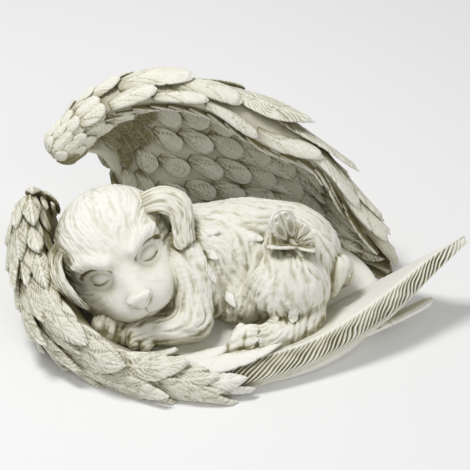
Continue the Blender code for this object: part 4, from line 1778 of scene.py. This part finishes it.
    def foreleg_shapes(self) -> list:
        """The bent left foreleg with its elbow, the paws and the right one under the cheek.

        Returns:
            The shapes.
        """
        return [
            Ball((-27, -14, 31), (18, 17, 19), 8),
            Limb(((-27, -22, 30), (-25, -31, 25), (-26, -37, 21.5)), (12, 11.8, 11), 7),
            Limb(((-26, -37, 20.5), (-36, -40, 19.5), (-47, -41, 18.5)), (10.8, 9.4, 8.8), 2.5),
            Ball((-53, -41.5, 18.5), (9.6, 8.6, 8.4), 2.5),
            Limb(((-66, -12, 20), (-69, -24, 20), (-68.5, -34, 18.5)), (11, 10, 9.2), 3),
        ]

    def tail_shapes(self) -> list:
        """The tail, curled up beside the rump with its tip towards the viewer.

        Returns:
            The shapes.
        """
        path = (
            (42, 6, 18), (51, 5, 18), (56.5, 1, 23), (57, -4, 31),
            (55, -8, 37), (52.5, -12.5, 32.5), (49.8, -16, 25),
        )
        return [Limb(path, (9, 8, 6.6, 5.6, 5.2, 5.2, 3.8), 0.8, steps=18)]

    def toe_shapes(self) -> list:
        """The toes of the hind foot and of both forepaws.

        Returns:
            The shapes.
        """
        shapes = []
        for number in range(3):
            x = -2.5 + 7.2 * number
            run = ((x + 3.5, -42, 20), (x + 0.8, -48, 18), (x, -50.4, 14.6))
            shapes.append(Limb(run, (3.4, 4.2, 4.4), 0.9, steps=5))
        for x in (1.6, 8.6):
            run = ((x + 2.6, -44, 26), (x + 0.4, -52, 21), (x, -56, 14))
            shapes.append(Limb(run, (0.3, 0.7, 0.8), 1.2, cut=True, steps=5))
        for root, tip in (
            ((-52, -37, 23), (-61, -43, 17)),
            ((-49, -40.5, 22), (-56.5, -48, 16)),
            ((-45, -42.5, 21), (-49.5, -50, 15.5)),
        ):
            shapes.append(Limb((root, tip), (3.2, 4.0), 0.9, steps=3))
        for number in range(3):
            x = -75.5 + 6.6 * number
            run = ((x, -35, 21), (x, -40.5, 19.5), (x + 0.4, -43.4, 15.5))
            shapes.append(Limb(run, (3.4, 4.0, 4.1), 1.4, steps=5))
        return shapes

    def crease_shapes(self) -> list:
        """The folds that part the thigh and the foreleg from the belly.

        Returns:
            The shapes.
        """
        thigh = ((12, -8, 58), (3.5, -20, 50), (1.0, -30, 38), (4, -36, 27), (14, -38, 20))
        arm = ((-18, -16, 52), (-12.5, -26, 42), (-11, -31, 32), (-12, -34, 22))
        return [
            Limb(thigh, (0.8, 2.2, 3.4, 3.4, 2.0), 4, cut=True),
            Limb(arm, (0.3, 0.9, 1.5, 2.0), 4, cut=True),
        ]

    # Places on the body, each with the way the coat lies there.
    COAT_GUIDES = (
        ((-45, 0, 50), (0.8, 0, -0.3)),
        ((-20, 0, 60), (1, -0.1, 0)),
        ((10, 5, 62), (1, -0.15, -0.1)),
        ((-20, -22, 44), (0.35, -0.5, -0.8)),
        ((-5, -20, 45), (0.6, -0.4, -0.7)),
        ((-24, -34, 28), (0, -0.3, -1)),
        ((-20, -42, 18), (-1, 0, -0.2)),
        ((-45, -45, 18), (-1, -0.2, -0.1)),
        ((-70, -40, 20), (0, -0.6, -0.8)),
        ((25, -18, 52), (0, -0.6, -0.8)),
        ((8, -28, 38), (-0.4, -0.3, -0.9)),
        ((42, -22, 36), (0.4, -0.2, -0.9)),
        ((25, -36, 24), (0.1, -0.2, -1)),
        ((36, -34, 18), (-0.6, -0.3, -0.6)),
        ((10, -50, 18), (-1, -0.1, -0.1)),
        ((50, 0, 42), (0.6, 0, -0.8)),
        ((50, 2, 18), (1, 0, 0.1)),
        ((62, 0, 25), (0, 0, 1)),
        ((54, -4, 37), (-0.4, -0.6, -0.4)),
        ((5, -34, 20), (-0.3, -0.3, -0.9)),
    )

    def coat_flow(self, points: Array, normals: Array) -> Array:
        """The way the coat lies: the guides' ways, by the cube of their nearness, and a slow sway.

        Args:
            points: (n, 3) places on the body.
            normals: (n, 3) the way that each looks.

        Returns:
            (n, 3) ways along the surface.
        """
        flow = np.zeros_like(points)
        for place, way in self.COAT_GUIDES:
            distance = np.linalg.norm(points - np.asarray(place, float), axis=1) + 2
            flow += np.asarray(way, float) / distance[:, None] ** 3
        flow = unit_rows(flow) + 0.55 * sway(points, 8.0)
        return unit_rows(flow - (flow * normals).sum(axis=1, keepdims=True) * normals)

    def body(self) -> list[Form]:
        """Trunk, legs, paws and tail with their combed coat, which is short on the tail's tip.

        Returns:
            The body and its tufts.
        """
        clay = Clay((-84, -58, self.ground - 3), (72, 44, 68), self.body_step * COARSE)
        clay.work(self.body_shapes())
        clay.floor(self.ground)
        points, quads = clay.surface()
        normals = clay.normals(points)
        coat = Comb(fine=1.2, broad=2.3, reach=5.0).heights(
            points, lambda places: self.coat_flow(places, clay.normals(places)), SEED + 9
        )
        tip = np.linalg.norm((points - (52, -13, 31)) / (7, 6, 10), axis=1)
        share = np.clip((points[:, 2] - self.ground) / 2, 0, 1) * (1 - np.exp(-(tip**4)))
        hollow = clay.hollows(points)
        points = points + normals * (self.body_coat * coat * share)[:, None]
        # Darker in the coat's grooves and the clay's creases, as real wash and painted shade.
        wash_and_shade = (1.15 * np.clip(-coat, 0, 1) - 0.2) * share + 0.8 * hollow
        return [facing_out(Form(points, quads, wash_and_shade)), *self.tufts(clay)]

    # Each tuft: its root, the way that it lies, its length and its width.
    TUFTS = (
        ((-24, -6, 60), (0.9, -0.1, 0.0), 15, 7),
        ((-20, -14, 54), (0.7, -0.4, -0.4), 12, 6),
        ((-17, -20, 49), (0.3, -0.5, -0.8), 13, 6.5),
        ((-8, -26, 34), (0.5, -0.2, -0.7), 12, 6),
        ((0, -8, 60), (0.9, -0.3, -0.1), 14, 6.5),
        ((18, -38, 30), (0.0, -0.3, -0.9), 12, 6),
        ((30, -38, 34), (-0.2, -0.3, -0.9), 13, 6.5),
    )

    def tufts(self, clay: Clay) -> list[Form]:
        """Small pointed tufts that stand off the coat, dropped on the clay's nearest surface.

        Args:
            clay: the body's clay.

        Returns:
            The tufts.
        """
        make = Plume(1, 1, -0.9, 1.3, 0.5, 0.35, 0.5, 1.0, Tip.LEAF, 0.25, 2.2, 0.0, cell=0.5)
        forms = []
        for number, (place, way, length, width) in enumerate(self.TUFTS):
            path = np.asarray(place, float) + np.asarray(way, float) * np.linspace(0, length, 10)[:, None]
            for _ in range(4):
                path = path - clay.normals(path) * clay.depth(path)[:, None]
            plume = replace(make, length=length, width=width)
            tuft = plume_form(path, clay.normals(path), plume, 500 + number)
            # The tufts are lighter: less wash and painted shade.
            forms.append(replace(tuft, hollow=tuft.hollow - 0.8))
        return forms

    def plan(self, work: StoneWork) -> None:
        """Plans the puppy's pieces.

        Args:
            work: what makes them.
        """
        work.plan("puppy_head", [self.head()])
        work.plan("puppy_ears", [self.near_ear(), self.far_ear()])
        work.plan("puppy_body", self.body())


@dataclass(frozen=True)
class ButterflyWing(Plume):
    """A butterfly's wing: a thin rounded fan with raised veins in place of barbs."""

    def carving(self, along: Array, across: Array, share: Array, seed: int) -> Array:
        """Raised cells: two drops side by side from the root, two small rings near the tip, a rim.

        A ring is the distance from an ellipse's middle, in its own radii, less one.

        Args:
            along: distance from the root.
            across: distance from the wing's middle line.
            share: the same as a share of half the width, from -1 to 1.
            seed: not needed by this carving.

        Returns:
            Heights, in the shape of along.
        """
        u = along / self.length
        height = self.rim * np.exp(-(((np.abs(share) - 0.88) / 0.10) ** 2))
        for middle, reach, lift in (((0.42, 0.46), (0.30, 0.26), 0.9), ((0.42, 0.82), (0.16, 0.09), 0.8)):
            away = np.hypot((np.abs(share) - middle[0]) / reach[0], (u - middle[1]) / reach[1])
            height += lift * np.exp(-(((away - 1) / 0.28) ** 2)) - 0.3 * lift * np.exp(-(away**4))
        return height - 0.3 * np.exp(-((across / 0.5) ** 2))


@dataclass(frozen=True)
class Butterfly:
    """The small butterfly perched on the puppy's hip.

    Attributes:
        seat: where it sits.
    """

    seat: tuple = (27.0, -15.0, 56.0)

    def forms(self) -> list[Form]:
        """Wings from the seat to their tips, each with the way its face looks, and the body.

        Returns:
            The wings and the body.
        """
        seat = np.array(self.seat)
        tall = ButterflyWing(20, 15.5, 0, 0, 0.5, 0.62, 0.35, 2.0, Tip.BLUNT, rim=0.7, cell=0.36)
        slim = Plume(13, 6.5, 0, 0, 0.8, 0.6, 0.5, 2.0, Tip.ROUND, 0.3, 2.0, 0.2, 0.4, cell=0.36)
        flat = Plume(17, 10, 0, 0, 0.8, 0.55, 0.6, 2.4, Tip.BLUNT, 0.25, 2.2, 0.2, 0.4, cell=0.36)
        forms = []
        for number, (root, tip, shape, towards) in enumerate(
            (
                ((0, 1, 1), (-7, 3, 21), tall, (0.25, -0.85, 0.45)),
                ((2, 0, 1), (8.5, 2, 13.5), slim, (-0.2, -0.8, 0.6)),
                ((3, -1, 0), (13.5, 0, 10.5), slim, (-0.3, -0.7, 0.7)),
                ((3, -2, 0), (-12.5, -6, 3.2), flat, (0.0, 0.5, 0.85)),
                ((3, -2, 0), (13.5, -6, 0.5), replace(flat, length=11, width=8), (0.1, 0.45, 0.85)),
            )
        ):
            path = np.linspace(seat + root, seat + tip, 10)
            forms.append(plume_form(path, facing(path, towards), shape, 200 + number))
        body = seat + np.array([(-2, 4, 4), (1.5, 0, 1.6), (5.5, -5, -3)])
        forms.append(tube(body, (1.7, 2.4, 1.5), 0.4))
        return forms

    def plan(self, work: StoneWork) -> None:
        """Plans the butterfly."""
        work.plan("butterfly", self.forms())


@dataclass(frozen=True)
class Lamp:
    """A square soft lamp.

    Attributes:
        name: its name.
        place: where it hangs, in metres.
        size: its side, in metres.
        power: in watts.
    """

    name: str
    place: tuple
    size: float
    power: float


@dataclass(frozen=True)
class Studio:
    """A pale floor, soft lamps and the camera, in metres.

    Attributes:
        target: what the camera and the lamps look at.
        elevation: the camera's height over it, as an angle.
        distance: the camera's distance from it.
        lens: the camera's focal length, in millimetres.
        reach: half the floor's side.
        pale: the floor's brightness.
        air: strength of the light from all round.
        lamps: the lamps.
    """

    target: tuple = (-0.001, 0.0, 0.0515)
    elevation: float = radians(38.0)
    distance: float = 0.9
    lens: float = 127.0
    reach: float = 6.0
    pale: float = 0.9
    air: float = 0.40
    lamps: tuple = (
        Lamp("key_lamp", (-0.34, 0.02, 1.05), 0.28, 6.9),
        Lamp("side_lamp", (0.5, -0.9, 0.8), 0.6, 2.2),
    )

    def floor(self) -> None:
        """A wide pale floor under the statue."""
        mesh = bpy.data.meshes.new("studio_floor")
        corners = [(x * self.reach, y * self.reach, 0) for x, y in ((-1, -1), (1, -1), (1, 1), (-1, 1))]
        mesh.from_pydata(corners, [], [(0, 1, 2, 3)])
        paper = bpy.data.materials.new("studio_paper")
        paper.use_nodes = True
        surface = paper.node_tree.nodes["Principled BSDF"]
        surface.inputs["Base Color"].default_value = (self.pale, self.pale, self.pale, 1)
        surface.inputs["Roughness"].default_value = 0.9
        mesh.materials.append(paper)
        placed("studio_floor", mesh)

    def hang(self, lamp: Lamp) -> None:
        """Hangs a lamp so that it looks at the statue.

        Args:
            lamp: the lamp.
        """
        light = bpy.data.lights.new(lamp.name, "AREA")
        light.size = lamp.size
        light.energy = lamp.power
        thing = placed(lamp.name, light)
        thing.location = lamp.place
        way = Vector(self.target) - Vector(lamp.place)
        thing.rotation_euler = way.to_track_quat("-Z", "Y").to_euler()

    def camera(self) -> None:
        """The camera, above and in front."""
        data = bpy.data.cameras.new("camera")
        data.lens = self.lens
        thing = placed("camera", data)
        way = Vector((0, -np.cos(self.elevation), np.sin(self.elevation)))
        thing.location = Vector(self.target) + way * self.distance
        thing.rotation_euler = (-way).to_track_quat("-Z", "Y").to_euler()
        bpy.context.scene.camera = thing

    def build(self) -> None:
        """Sets everything up."""
        self.floor()
        for lamp in self.lamps:
            self.hang(lamp)
        world = bpy.data.worlds.new("studio_air")
        world.use_nodes = True
        background = world.node_tree.nodes["Background"]
        background.inputs["Color"].default_value = (1, 1, 1, 1)
        background.inputs["Strength"].default_value = self.air
        bpy.context.scene.world = world
        bpy.context.scene.view_settings.view_transform = "Standard"
        self.camera()


def main() -> None:
    """Builds the statue and the studio, and reports each piece."""
    logging.basicConfig(level=logging.INFO, format="%(message)s")
    Studio().build()
    work = StoneWork(CastStone())
    for part in (BackWing(), FrontWing(), Floor(), Puppy(), Butterfly()):
        part.plan(work)
    work.finish_all()


if __name__ == "__main__":
    main()
